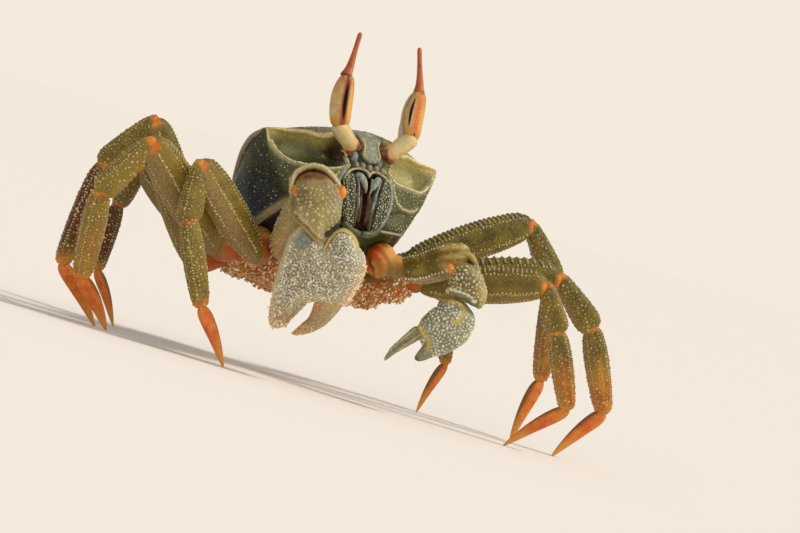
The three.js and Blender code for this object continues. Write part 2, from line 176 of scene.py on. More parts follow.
def join(pieces, name):
    """Join pieces into the first one."""
    bpy.ops.object.select_all(action="DESELECT")
    for piece in pieces:
        piece.select_set(True)
    bpy.context.view_layer.objects.active = pieces[0]
    if len(pieces) > 1:
        bpy.ops.object.join()
    pieces[0].name = name
    pieces[0].data.name = name
    return pieces[0]


def finish_piece(piece, material, slot, *nodes):
    """Give a piece its material and its body, and hide the solids that it stands for. The slot is not
    used.
    """
    piece.data.materials.clear()
    piece.data.materials.append(material)
    only(piece)
    bpy.ops.object.shade_smooth()
    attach(piece, "root")
    if nodes:
        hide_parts(*nodes)
    return piece


# %% Draw a limb as a run of pulled and resized rings
def loft(name, rows, length, sides=12, levels=2):
    """rows: share of the length, half deep (X), half thick (Y), shift X, shift Y. Runs up Z."""
    bpy.ops.object.select_all(action="DESELECT")
    bpy.ops.mesh.primitive_circle_add(vertices=sides, radius=1, fill_type="TRIFAN")
    piece = bpy.context.object
    piece.name = name
    bpy.ops.object.mode_set(mode="EDIT")
    bpy.ops.mesh.select_all(action="SELECT")
    old = (0.0, 1.0, 1.0, 0.0, 0.0)
    for number, row in enumerate(rows):
        t, deep, thick, dx, dy = (tuple(row) + (0.0, 0.0))[:5]
        step = (dx - old[3], dy - old[4], t * length - old[0])
        if number:
            bpy.ops.mesh.extrude_region_move(TRANSFORM_OT_translate={"value": step})
        else:
            bpy.ops.transform.translate(value=step)
        bpy.ops.transform.resize(
            value=(deep / old[1], thick / old[2], 1), center_override=(dx, dy, t * length)
        )
        old = (t * length, deep, thick, dx, dy)
    bpy.ops.mesh.select_all(action="SELECT")
    bpy.ops.mesh.normals_make_consistent(inside=False)
    bpy.ops.object.mode_set(mode="OBJECT")
    if levels:
        rounded(piece, levels)
    return piece


def blend(pieces, name, voxel=0.25, passes=5):
    """Wrap joined pieces in one skin and smooth it, so that they grow out of one another."""
    piece = join(pieces, name)
    apply_modifier(piece, "REMESH", mode="VOXEL", voxel_size=voxel)
    return apply_modifier(piece, "SMOOTH", factor=0.6, iterations=passes)


def ball(name, centre, half, turn=None):
    """A ball with half sizes along three axes, or along the axes of a turning matrix."""
    bpy.ops.object.select_all(action="DESELECT")
    bpy.ops.mesh.primitive_uv_sphere_add(segments=24, ring_count=16, radius=1)
    piece = bpy.context.object
    piece.name = name
    turn = turn or Matrix.Identity(4)
    piece.data.transform(Matrix.Translation(centre) @ turn @ Matrix.Diagonal((*half, 1)))
    return piece


def sized(rows, deep, thick):
    """Rows of shares made into rows of millimetres."""
    return [(row[0], row[1] * deep, row[2] * thick, *row[3:]) for row in rows]


def stand_on(start, end, deep_axis):
    """The matrix that carries a loft's Z to start-end and its X to the deep axis."""
    along = (end - start).normalized()
    thick = along.cross(deep_axis).normalized()
    deep = thick.cross(along).normalized()
    turn = Matrix((deep, thick, along)).transposed().to_4x4()
    return Matrix.Translation(start) @ turn


# %% [markdown]
# ## Beads
# A crab's shell is set with beads: rows along its ridges, a dense scatter on its claws. One bead is
# modelled from a small ball with its underside cut off, and copies of it are laid on the surface,
# sunk a little, and joined to the plate they grow from. A mark on each bead's vertices tells the
# material that it is looking at a bead, so beads are paler than the skin between them.

# %% One bead, and many of them on a surface
bpy.ops.object.select_all(action="DESELECT")
bpy.ops.mesh.primitive_uv_sphere_add(segments=7, ring_count=6, radius=1)
bead_model = bpy.context.object
bpy.ops.object.mode_set(mode="EDIT")
bpy.ops.mesh.select_all(action="SELECT")
bpy.ops.mesh.bisect(plane_co=(0, 0, -0.3), plane_no=(0, 0, 1), clear_inner=True)
bpy.ops.object.mode_set(mode="OBJECT")
BEAD_POINTS = points_of(bead_model)
BEAD_FACES = [tuple(face.vertices) for face in bead_model.data.polygons]
bpy.data.objects.remove(bead_model)

bpy.ops.object.select_all(action="DESELECT")
bpy.ops.mesh.primitive_ico_sphere_add(subdivisions=1, radius=1)
grain_model = bpy.context.object
GRAIN_POINTS = points_of(grain_model) * rng.uniform(0.75, 1.2, (len(grain_model.data.vertices), 3))
GRAIN_FACES = [tuple(face.vertices) for face in grain_model.data.polygons]
bpy.data.objects.remove(grain_model)
print("one bead:", len(BEAD_FACES), "faces, one sand grain:", len(GRAIN_FACES), "faces")


def surface_of(piece):
    """A search tree over a mesh, for laying things on it."""
    return BVHTree.FromPolygons(
        [v.co.copy() for v in piece.data.vertices], [tuple(p.vertices) for p in piece.data.polygons]
    )


def bead_mesh(name, spots, shape=BEAD_POINTS, shape_faces=BEAD_FACES):
    """spots: place, normal, long axis, radius, stretch along the long axis, height, tone."""
    count = len(shape)
    points = np.empty((len(spots) * count, 3))
    tones = np.empty(len(spots) * count)
    faces = []
    for i, (spot, normal, axis, radius, stretch, height, tone) in enumerate(spots):
        n = np.array(normal)
        a = np.array(axis) - n * np.dot(axis, n)
        size = np.linalg.norm(a)
        a = a / size if size > 1e-6 else np.array(Vector(normal).orthogonal().normalized())
        b = np.cross(n, a)
        local = shape * (radius * stretch, radius, radius * height)
        points[i * count:(i + 1) * count] = (
            np.array(spot) + local[:, :1] * a + local[:, 1:2] * b + local[:, 2:3] * n
        )
        tones[i * count:(i + 1) * count] = tone
        faces.extend(tuple(v + i * count for v in face) for face in shape_faces)
    mesh = bpy.data.meshes.new(name)
    mesh.from_pydata(points.tolist(), [], faces)
    piece = bpy.data.objects.new(name, mesh)
    bpy.context.scene.collection.objects.link(piece)
    mark(piece, "bead", tones)
    return piece


def scatter(piece, spacing, low, high, keep=None, tries=9000, seed=1, height=0.8, stretch=1.0,
            axis=(0, 0, 1),
            tone=(0.55, 1.0), free=0.0):
    """Beads at random over a mesh, no two closer than spacing. keep(place, normal) may refuse one."""
    mesh = piece.data
    mesh.calc_loop_triangles()
    tri = np.array([t.vertices for t in mesh.loop_triangles])
    co = points_of(piece)
    a, b, c = co[tri[:, 0]], co[tri[:, 1]], co[tri[:, 2]]
    cross = np.cross(b - a, c - a)
    area = np.linalg.norm(cross, axis=1)
    good = area > 1e-9
    a, b, c, cross, area = a[good], b[good], c[good], cross[good], area[good]
    draw = np.random.default_rng(seed)
    pick = draw.choice(len(area), tries, p=area / area.sum())
    r, s = draw.random(tries), draw.random(tries)
    flip = r + s > 1
    r[flip], s[flip] = 1 - r[flip], 1 - s[flip]
    spots = a[pick] + r[:, None] * (b - a)[pick] + s[:, None] * (c - a)[pick]
    normals = cross[pick] / area[pick][:, None]
    sizes = draw.uniform(low, high, tries)
    tones = draw.uniform(*tone, tries)
    stretches = draw.uniform(stretch, stretch + free, tries)
    axes = draw.normal(0, 1, (tries, 3)) if free else np.broadcast_to(np.array(axis, float), (tries, 3))
    allowed = np.ones(tries, bool) if keep is None else keep(spots, normals)
    grid, out = {}, []
    for i in np.nonzero(allowed)[0]:
        gap = spacing * (0.6 + 0.4 * sizes[i] / high)
        cell = tuple((spots[i] // spacing).astype(int))
        near = (
            grid.get((cell[0] + x, cell[1] + y, cell[2] + z), ())
            for x in (-1, 0, 1) for y in (-1, 0, 1) for z in (-1, 0, 1)
        )
        if any(np.dot(spots[i] - spots[j], spots[i] - spots[j]) < gap * gap for group in near
               for j in group):
            continue
        grid.setdefault(cell, []).append(i)
        out.append((spots[i], normals[i], axes[i], sizes[i], stretches[i], height, tones[i]))
    return out


# %% [markdown]
# ## Colours
# A shell has no single colour: it is mottled in olive, gold and blue-grey, its beads are cream, its
# joints orange. The patterns that several materials share are node groups, built once: mottling
# and fine grain. Each gives back masks and heights only, and each material mixes its own
# colours by them. A simple colour on each piece was the other way, but real shell never looks so.

# %% Node tools
def rgb(red, green, blue):
    """A colour written as 0 to 255, made linear for a shader."""
    out = []
    for value in (red, green, blue):
        share = value / 255
        out.append(share / 12.92 if share <= 0.04045 else ((share + 0.055) / 1.055) ** 2.4)
    return (*out, 1.0)


def add_node(tree, kind, settings=None, **inputs):
    """Add a node, set its own settings, and set or link its inputs by name."""
    node = tree.nodes.new(kind)
    for name, value in (settings or {}).items():
        setattr(node, name, value)
    for name, value in inputs.items():
        if name[0] == "i" and name[1:].isdigit():
            socket = node.inputs[int(name[1:])]
        else:
            socket = node.inputs[name.replace("_", " ")]
        if isinstance(value, bpy.types.NodeSocket):
            tree.links.new(value, socket)
        else:
            socket.default_value = value
    return node


def math_node(tree, operation, first, second=0.0):
    """One sum."""
    return add_node(tree, "ShaderNodeMath", {"operation": operation}, i0=first, i1=second).outputs[0]


def ramp(tree, factor, low, high):
    """0 below low, 1 above high, with a smooth run between."""
    node = add_node(tree, "ShaderNodeMapRange", {"interpolation_type": "SMOOTHSTEP"}, Value=factor)
    node.inputs["From Min"].default_value = low
    node.inputs["From Max"].default_value = high
    return node.outputs[0]


def mix(tree, factor, first, second):
    """Mix two colours."""
    node = add_node(tree, "ShaderNodeMix", {"data_type": "RGBA"})
    for socket, value in ((node.inputs[0], factor), (node.inputs[6], first), (node.inputs[7], second)):
        if isinstance(value, bpy.types.NodeSocket):
            tree.links.new(value, socket)
        else:
            socket.default_value = value
    return node.outputs[2]


def group(name, inputs, outputs):
    """An empty node group with named float inputs (name: default) and outputs."""
    tree = bpy.data.node_groups.new(name, "ShaderNodeTree")
    for label, default in inputs.items():
        kind = "NodeSocketVector" if default is None else "NodeSocketFloat"
        socket = tree.interface.new_socket(name=label, in_out="INPUT", socket_type=kind)
        if default is not None:
            socket.default_value = default
    for label in outputs:
        tree.interface.new_socket(name=label, in_out="OUTPUT", socket_type="NodeSocketFloat")
    return tree, tree.nodes.new("NodeGroupInput").outputs, tree.nodes.new("NodeGroupOutput").inputs


# %% Shared effects: mottling and grain
mottle, given, wanted = group("mottle", {"Place": None, "Scale": 300.0}, ["Broad", "Small"])
broad = add_node(mottle, "ShaderNodeTexNoise", Vector=given["Place"], Scale=given["Scale"], Detail=3.0,
                 Roughness=0.6)
mottle.links.new(ramp(mottle, broad.outputs[0], 0.35, 0.65), wanted["Broad"])
small_scale = math_node(mottle, "MULTIPLY", given["Scale"], 6.0)
small = add_node(mottle, "ShaderNodeTexNoise", Vector=given["Place"], Scale=small_scale, Detail=4.0,
                 Roughness=0.65)
mottle.links.new(ramp(mottle, small.outputs[0], 0.35, 0.68), wanted["Small"])

grain, given, wanted = group("grain", {"Place": None, "Scale": 2600.0}, ["Dots", "Height"])
cells = add_node(grain, "ShaderNodeTexVoronoi", Vector=given["Place"], Scale=given["Scale"],
                 Randomness=0.9)
dots = ramp(grain, cells.outputs["Distance"], 0.55, 0.05)
fine_scale = math_node(grain, "MULTIPLY", given["Scale"], 2.3)
fine = add_node(grain, "ShaderNodeTexNoise", Vector=given["Place"], Scale=fine_scale, Detail=2.0)
grain.links.new(dots, wanted["Dots"])
height = math_node(grain, "MULTIPLY_ADD", fine.outputs[0], 0.35)
height.node.inputs[2].default_value = 0.0
grain.links.new(math_node(grain, "ADD", dots, height), wanted["Height"])

print("shared effects:", mottle.name, grain.name)


# %% A material's common start and end
class Finish:
    """A material with a Principled BSDF, its Object coordinates, and the marks on the mesh."""

    def __init__(self, name, roughness=0.4, coat=0.0, specular=0.5):
        self.material = bpy.data.materials.new(name)
        self.material.use_nodes = True
        self.tree = self.material.node_tree
        self.shader = self.tree.nodes["Principled BSDF"]
        self.shader.inputs["Roughness"].default_value = roughness
        self.shader.inputs["Coat Weight"].default_value = coat
        self.shader.inputs["Coat Roughness"].default_value = 0.18
        self.shader.inputs["Specular IOR Level"].default_value = specular
        self.place = add_node(self.tree, "ShaderNodeTexCoord").outputs["Object"]

    def mark(self, name):
        """A number stored on the mesh."""
        return add_node(self.tree, "ShaderNodeAttribute", {"attribute_name": name}).outputs["Fac"]

    def use(self, shared, **values):
        """One of the shared effects."""
        node = self.tree.nodes.new("ShaderNodeGroup")
        node.node_tree = shared
        self.tree.links.new(self.place, node.inputs["Place"])
        for name, value in values.items():
            node.inputs[name].default_value = value
        return node.outputs

    def layer(self, base, name, pattern, low, high):
        """Lay a colour over another where a mark says so, mottled between two tones by a pattern."""
        mask = self.mark(name)
        return mix(self.tree, mask, base, mix(self.tree, pattern, rgb(*low), rgb(*high)))

    def colour(self, value):
        """Set the base colour."""
        self.tree.links.new(value, self.shader.inputs["Base Color"])

    def bump(self, height, distance, strength=1.0):
        """Raise the surface by a height, up to a distance in millimetres."""
        node = add_node(self.tree, "ShaderNodeBump", Height=height, Strength=strength,
                        Distance=distance * MM)
        self.tree.links.new(node.outputs[0], self.shader.inputs["Normal"])


# %% [markdown]
# ## The shell's finish
# The shell is olive green, lighter and golden where it is thin, blue-black low on its sides. Its
# beads and ridges are cream. Light and shade are painted in too: a painted sheen in the eye hollows,
# more gold painted on the crab's lit left side of the face, and painted shade in the crevice under
# the side walls and, in part, on the walls themselves. Marks on the mesh, such as "cream" and
# "gold", say where.

# %% Shell
def make_shell():
    """Olive shell with cream ridges, dark hollows and golden thin places, with painted sheen and shade."""
    f = Finish("crab_shell", roughness=0.44, coat=0.05, specular=0.35)
    t = f.tree
    cloud, beads = f.use(mottle, Scale=260.0), f.use(grain, Scale=2300.0)
    base = mix(t, cloud["Broad"], rgb(40, 48, 17), rgb(70, 74, 24))
    base = mix(t, math_node(t, "MULTIPLY", cloud["Small"], 0.5), base, rgb(92, 94, 46))
    # wall: the side walls darker, partly their own colour, partly painted shade
    base = f.layer(base, "wall", cloud["Broad"], (16, 24, 16), (40, 48, 26))
    # gold under the rim is the shell's own; its extra on the crab's left is painted light
    base = f.layer(base, "gold", cloud["Small"], (176, 154, 64), (200, 184, 110))
    # painted sheen: a pale highlight painted into the eye hollows
    base = f.layer(base, "painted_sheen", cloud["Small"], (160, 154, 102), (192, 186, 138))
    base = f.layer(base, "blue", cloud["Small"], (14, 24, 56), (24, 38, 62))
    base = mix(t, math_node(t, "MULTIPLY", beads["Dots"], 0.25), base, rgb(150, 146, 104))
    base = f.layer(base, "grey", cloud["Small"], (102, 102, 80), (156, 154, 130))
    base = f.layer(base, "smooth", cloud["Small"], (128, 138, 134), (176, 182, 174))
    base = f.layer(base, "margin", beads["Dots"], (156, 140, 120), (192, 178, 158))
    base = f.layer(base, "cream", cloud["Small"], (206, 184, 116), (228, 214, 162))
    # dark: brown mouth, pits, seams; painted shade in the mouth's recess and the crevice below the walls
    base = f.layer(base, "dark", cloud["Small"], (44, 20, 8), (96, 52, 22))
    base = mix(t, f.mark("bead"), base, rgb(222, 214, 176))
    f.colour(base)
    f.bump(beads["Height"], 0.05)
    return f.material


def make_leg():
    """Leg shell: olive above, brown below (partly painted shade), orange at the joints, cream beads."""
    f = Finish("leg_shell", roughness=0.48, coat=0.04, specular=0.3)
    t = f.tree
    cloud, beads = f.use(mottle, Scale=330.0), f.use(grain, Scale=2100.0)
    base = mix(t, cloud["Broad"], rgb(90, 72, 6), rgb(124, 100, 20))
    base = mix(t, math_node(t, "MULTIPLY", cloud["Small"], 0.4), base, rgb(140, 124, 44))
    # tan and olive, set per leg: partly painted light on the right legs, painted shade on the left
    base = f.layer(base, "tan", cloud["Small"], (150, 116, 34), (174, 140, 60))
    base = f.layer(base, "olive", cloud["Broad"], (58, 56, 6), (98, 88, 18))
    # low: the brown lower face, partly painted shade
    base = f.layer(base, "low", cloud["Small"], (118, 90, 46), (146, 122, 78))
    base = f.layer(base, "red", cloud["Small"], (68, 22, 6), (104, 46, 16))
    base = mix(t, math_node(t, "MULTIPLY", beads["Dots"], 0.25), base, rgb(176, 160, 96))
    base = f.layer(base, "joint", cloud["Broad"], (210, 100, 16), (222, 146, 46))
    base = mix(t, f.mark("cream"), base, rgb(206, 186, 126))
    base = mix(t, f.mark("bead"), base, rgb(214, 196, 140))
    f.colour(base)
    f.bump(beads["Height"], 0.05)
    return f.material


def make_claw():
    """Claw shell: grey-white beads over olive, tan towards the fingertips."""
    f = Finish("claw_shell", roughness=0.5, coat=0.04, specular=0.35)
    t = f.tree
    cloud, beads = f.use(mottle, Scale=300.0), f.use(grain, Scale=2000.0)
    base = mix(t, cloud["Broad"], rgb(126, 118, 94), rgb(156, 148, 122))
    base = mix(t, math_node(t, "MULTIPLY", cloud["Small"], 0.5), base, rgb(168, 162, 138))
    base = f.layer(base, "olive", cloud["Broad"], (106, 88, 26), (148, 128, 58))
    base = f.layer(base, "blue", cloud["Small"], (110, 118, 108), (158, 162, 148))
    base = f.layer(base, "teal", cloud["Small"], (112, 120, 96), (148, 150, 120))
    base = f.layer(base, "tan", cloud["Small"], (156, 124, 78), (188, 158, 112))
    base = f.layer(base, "yellow", cloud["Small"], (186, 158, 72), (214, 194, 126))
    base = f.layer(base, "joint", cloud["Broad"], (204, 100, 16), (218, 142, 44))
    base = f.layer(base, "cream", cloud["Small"], (204, 186, 132), (222, 210, 172))
    base = f.layer(base, "dark", cloud["Broad"], (78, 34, 12), (140, 78, 26))
    base = mix(t, f.mark("bead"), base, rgb(234, 226, 202))
    f.colour(base)
    f.bump(beads["Height"], 0.06)
    return f.material


def make_orange():
    """Smooth orange joints and nail-like feet, yellower to the tip."""
    f = Finish("joint_orange", roughness=0.46, coat=0.05, specular=0.35)
    t = f.tree
    cloud = f.use(mottle, Scale=420.0)
    base = mix(t, cloud["Broad"], rgb(202, 86, 16), rgb(218, 122, 34))
    base = f.layer(base, "pale", cloud["Small"], (214, 146, 52), (222, 168, 84))
    base = f.layer(base, "gold", cloud["Broad"], (186, 112, 30), (206, 146, 52))
    base = f.layer(base, "olive", cloud["Small"], (106, 90, 34), (150, 126, 60))
    base = f.layer(base, "low", cloud["Small"], (112, 78, 34), (150, 112, 58))
    base = f.layer(base, "red", cloud["Small"], (190, 58, 12), (208, 96, 30))
    base = f.layer(base, "dark", cloud["Small"], (44, 18, 8), (78, 36, 14))
    base = mix(t, f.mark("cream"), base, rgb(214, 190, 146))
    base = mix(t, f.mark("bead"), base, rgb(230, 204, 158))
    f.colour(base)
    f.bump(cloud["Small"], 0.04)
    return f.material


def make_sand():
    """Wet sand that clings to the crab: every grain has its own tone."""
    f = Finish("clinging_sand", roughness=0.6)
    t = f.tree
    tone = f.mark("bead")
    base = mix(t, ramp(t, tone, 0.0, 0.45), rgb(162, 98, 44), rgb(220, 164, 96))
    f.colour(mix(t, ramp(t, tone, 0.5, 1.0), base, rgb(246, 232, 206)))
    return f.material


def make_stalk():
    """Eyestalk: cream and grey, orange and brown where it leaves its socket."""
    f = Finish("eyestalk_skin", roughness=0.38, coat=0.15)
    t = f.tree
    cloud = f.use(mottle, Scale=420.0)
    base = mix(t, cloud["Broad"], rgb(220, 192, 128), rgb(198, 174, 120))
    base = f.layer(base, "grey", cloud["Small"], (180, 168, 134), (204, 190, 152))
    base = f.layer(base, "joint", cloud["Small"], (186, 110, 34), (214, 156, 78))
    base = f.layer(base, "dark", cloud["Broad"], (84, 34, 12), (132, 66, 22))
    f.colour(base)
    f.bump(cloud["Small"], 0.03)
    return f.material


def make_cornea():
    """The eye: amber, with a black slit in a red-brown patch, or an orange stripe beside the slit."""
    f = Finish("cornea", roughness=0.32, coat=0.03, specular=0.22)
    t = f.tree
    cloud = f.use(mottle, Scale=500.0)
    turn, along = f.mark("turn"), f.mark("along")
    away = math_node(t, "ABSOLUTE", turn)
    base = mix(t, cloud["Broad"], rgb(188, 150, 92), rgb(206, 174, 120))
    bright = mix(t, cloud["Small"], rgb(214, 158, 66), rgb(216, 174, 96))
    base = mix(t, ramp(t, turn, 0.1, 0.6), base, bright)
    base = mix(t, ramp(t, along, 0.25, 0.05), base, rgb(200, 146, 66))
    high = math_node(t, "MULTIPLY", ramp(t, along, 0.5, 0.95), cloud["Small"])
    base = mix(t, high, base, rgb(172, 96, 38))
    red = mix(t, ramp(t, along, 0.45, 0.1), rgb(132, 62, 32), rgb(162, 70, 34))
    base = mix(t, math_node(t, "MULTIPLY", ramp(t, away, 0.52, 0.14), f.mark("patch")), base, red)
    speckle = mix(t, cloud["Small"], rgb(196, 104, 50), rgb(214, 138, 82))
    beside = ramp(t, math_node(t, "ABSOLUTE", f.mark("stripe")), 0.56, 0.1)
    base = mix(t, beside, base, speckle)
    dot = math_node(t, "ADD", math_node(t, "ABSOLUTE", f.mark("stripe")), f.mark("dot"))
    base = mix(t, ramp(t, dot, 0.16, 0.09), base, rgb(110, 24, 12))
    base = f.layer(base, "skin", cloud["Small"], (168, 158, 124), (196, 180, 134))
    base = mix(t, f.mark("line"), base, rgb(96, 62, 30))
    wide = math_node(t, "MULTIPLY", away, f.mark("narrow"))
    run = f.mark("run")
    slit = math_node(t, "ADD", math_node(t, "MULTIPLY", wide, wide), math_node(t, "MULTIPLY", run, run))
    base = mix(t, ramp(t, slit, 2.2, 1.0), base, rgb(66, 22, 12))
    f.colour(mix(t, ramp(t, slit, 1.15, 0.85), base, rgb(4, 3, 3)))
    return f.material


def make_horn():
    """Red-brown horn on the eye."""
    f = Finish("eye_horn", roughness=0.45, coat=0.08)
    t = f.tree
    cloud = f.use(mottle, Scale=600.0)
    base = mix(t, cloud["Broad"], rgb(158, 66, 24), rgb(180, 88, 38))
    base = f.layer(base, "pale", cloud["Small"], (186, 102, 58), (202, 128, 82))
    base = mix(t, f.mark("dark"), base, rgb(84, 30, 14))
    f.colour(base)
    f.bump(cloud["Small"], 0.03)
    return f.material


SHELL, LEG, CLAW, ORANGE = make_shell(), make_leg(), make_claw(), make_orange()
STALK, CORNEA, HORN, SAND = make_stalk(), make_cornea(), make_horn(), make_sand()
print("materials:", [m.name for m in (SHELL, LEG, CLAW, ORANGE, STALK, CORNEA, HORN, SAND)])

# %% [markdown]
# ## The shell
# The carapace is one closed plate: a flat back, steep side walls, and a face with a long hollow for
# each eye. It starts as a ball with many fine rings. The rings are laid from the rear edge to the
# front edge, each as a section across the body, and then in smaller and smaller rings over the
# face. Small formulas press the eye hollows in and raise the ridges round them.

# %% Sections across the shell
SHELL_HALF = 22.0
SHELL_FRONT = 18.5
SHELL_CORNER = 12.0
SHELL_REAR = -19.5
FACE_HEART = -8.6
WALL_START, WALL_SPAN = 0.46, 0.3
FLOOR_START, FLOOR_SPAN = 0.76, 0.24
BACK_SHARE = 0.52
# share from rear to front: half width, edge height, arch, under half width, under height
SHELL_ROWS = np.array([
    (0.0, 7.5, -8.5, 2.0, 6.0, -13.5),
    (0.12, 12.0, -9.0, 4.2, 9.5, -17.0),
    (0.28, 15.6, -8.2, 6.6, 12.6, -19.0),
    (0.48, 19.0, -5.0, 6.0, 14.2, -19.5),
    (0.7, 21.6, -2.0, 4.6, 14.8, -19.5),
    (0.86, 22.6, -0.6, 3.2, 14.0, -18.8),
    (1.0, SHELL_HALF, 0.0, 1.9, 12.6, -17.6),
])


def smooth_table(table, t, softness=0.035):
    """Columns of a table at shares t, rounded over where rows meet."""
    fine = np.linspace(-0.15, 1.15, 521)
    width = int(softness / (fine[1] - fine[0]) * 6) | 1
    kernel = np.exp(-0.5 * np.linspace(-3, 3, width) ** 2)
    kernel /= kernel.sum()
    out = []
    for column in range(1, table.shape[1]):
        line = np.interp(fine, table[:, 0], table[:, column])
        line = np.convolve(np.pad(line, width // 2, mode="edge"), kernel, "valid")
        out.append(np.interp(t, fine, line))
    return out


def step(x, low, high):
    """A smooth step from 0 at low to 1 at high."""
    k = np.clip((x - low) / (high - low), 0, 1)
    return k * k * (3 - 2 * k)


def near(distance, width):
    """1 on a line, fading out by width."""
    return np.exp(-(distance / width) ** 2)


def section(t, s):
    """One section, from the middle of the back (s = 0) down the side to the middle below (s = 1)."""
    half, edge, arch, under, floor = smooth_table(SHELL_ROWS, t)
    top, wall, low = s / WALL_START, (s - WALL_START) / WALL_SPAN, (s - FLOOR_START) / FLOOR_SPAN
    sine = np.sin(np.pi / 2 * np.clip(top, 0, 1))
    side = half * sine
    up = edge + arch * (1 - sine ** 2.6)
    w = np.clip(wall, 0, 1)
    bulge = np.sin(np.pi * w) * (0.7 + 1.6 * (1 - t)) + 0.9 * near(w - 0.22, 0.2) * near(t - 0.42, 0.2)
    side = np.where(s > WALL_START, half + (under - half) * w ** 1.35 + bulge, side)
    up = np.where(s > WALL_START, edge + (floor - edge) * w, up)
    q = np.clip(low, 0, 1)
    side = np.where(s > FLOOR_START, under * (1 - q), side)
    up = np.where(s > FLOOR_START, floor - 1.4 * np.sin(np.pi / 2 * q), up)
    return side, up


def face_ahead(side, up):
    """How far ahead the face stands, before its hollows and ridges."""
    reach = np.clip(np.abs(side) / 17, 0, 1) ** 1.3
    slope = np.where(up < -9, (up + 9) * 0.36, 0)
    return SHELL_FRONT - (SHELL_FRONT - SHELL_CORNER) * reach + slope * (1 - 0.6 * reach)


# %% Lines on the face: distance from the middle, and height
RIM_LINE = np.array([(4.0, 0.2), (6.5, 0.2), (8, -0.6), (9.5, -0.9), (11, -0.7), (13, 0), (16, 0.2),
                     (20, 0.1), (22, 0)])
RIDGE_LINE = np.array([
    (5.3, -7.3), (7.0, -7.8), (9.0, -8.2), (11.5, -8.2), (14.0, -8.0), (16.2, -7.3),
    (18.4, -5.9), (20.1, -4.1), (21.3, -2.2), (22.0, 0.0),
])
LOBE_LINE = np.array([(7.1, -8.8), (8.2, -10.6), (9.4, -11.8), (11.1, -12.4), (13.4, -12.3),
                      (15.0, -11.7), (16.3, -10.6)])
STRIP_LINE = np.array([(4.5, -5.4), (5.5, -7.5), (6.3, -9.2), (7.0, -11.4), (7.1, -13.6), (6.2, -16.0),
                       (4.6, -18.6)])
SEAM_LINE = np.array([(7.6, -14.4), (9.0, -14.0), (11.4, -13.0), (13.5, -12.9)])
ARCH_LINE = np.array([(0, -8.5), (0.6, -7.8), (2.0, -7.3), (3.5, -7.5), (5.0, -8.4), (6.0, -10.0),
                      (6.4, -12.0)])
CHIN_LINE = np.array([(0, -20.2), (3.6, -19.6), (5.0, -18.0), (6.0, -15.5), (6.4, -12.0)])


def line_height(line, side):
    """Height of a line on the face at a distance from the middle."""
    return np.interp(np.abs(side), line[:, 0], line[:, 1])


def line_gap(path, x, z):
    """Distance from places to a line of points drawn in a plane."""
    best = np.full(np.shape(x), 99.0)
    for (x0, z0), (x1, z1) in zip(path[:-1], path[1:]):
        k = np.clip(((x - x0) * (x1 - x0) + (z - z0) * (z1 - z0)) / ((x1 - x0) ** 2 + (z1 - z0) ** 2),
                    0, 1)
        best = np.minimum(best, np.hypot(x - x0 - k * (x1 - x0), z - z0 - k * (z1 - z0)))
    return best


def distance_to(line, side, up):
    """Distance from places on the face to a line that both halves of the face have."""
    return line_gap(line, np.abs(side), up)


def in_hollow(side, up):
    """How deep an eye hollow is: 0 at its edges, in millimetres."""
    top, low = line_height(RIM_LINE, side), line_height(RIDGE_LINE, side)
    tall = np.maximum(top - low, 0.01)
    u = np.clip((up - low) / tall, 0, 1)
    deep = 3.3 * (1 - np.exp(-tall / 2.6))
    outer = 0.25 + 0.75 * step(np.abs(side), 20.5, 14.5)
    return deep * outer * np.sin(np.pi * u ** 1.1) ** 0.8 * step(np.abs(side), 2.6, 4.4)


def in_mouth(side, up):
    """1 inside the mouth frame."""
    x = np.abs(side)
    roof, chin = line_height(ARCH_LINE, side), line_height(CHIN_LINE, side)
    return step(roof - up, 0.0, 0.6) * step(up - chin, 0.0, 0.8) * step(x, 6.5, 6.0)


def face_relief(side, up):
    """Hollows, ridges and the mouth frame, as a push ahead (+) or back (-)."""
    x = np.abs(side)
    push = -in_hollow(side, up)
    push -= 2.4 * near(np.hypot((x - 4.8) / 1.2, up + 2.9), 2.0)
    push += 1.3 * near(x - 13.5, 4.5) * near(up + 8.4, 3.4)
    push += 0.55 * near(distance_to(RIDGE_LINE, side, up), 0.5) * (0.3 + 0.7 * step(x, 20.5, 16.5))
    push += 0.3 * near(distance_to(LOBE_LINE, side, up), 0.45)
    push += 0.35 * near(up - line_height(RIM_LINE, side) - 0.35, 0.5) * step(x, 4.0, 6.0) * step(x,
        21.5, 20.0)
    push -= 0.3 * near(distance_to(SEAM_LINE, side, up), 0.22)
    push -= 3.2 * in_mouth(side, up)
    push += 0.9 * near(distance_to(STRIP_LINE, side, up), 0.75)
    push -= 1.2 * step(x, 4.6, 3.6) * step(up, -7.2, -6.6) * step(up, -1.6, -3.0)
    return push


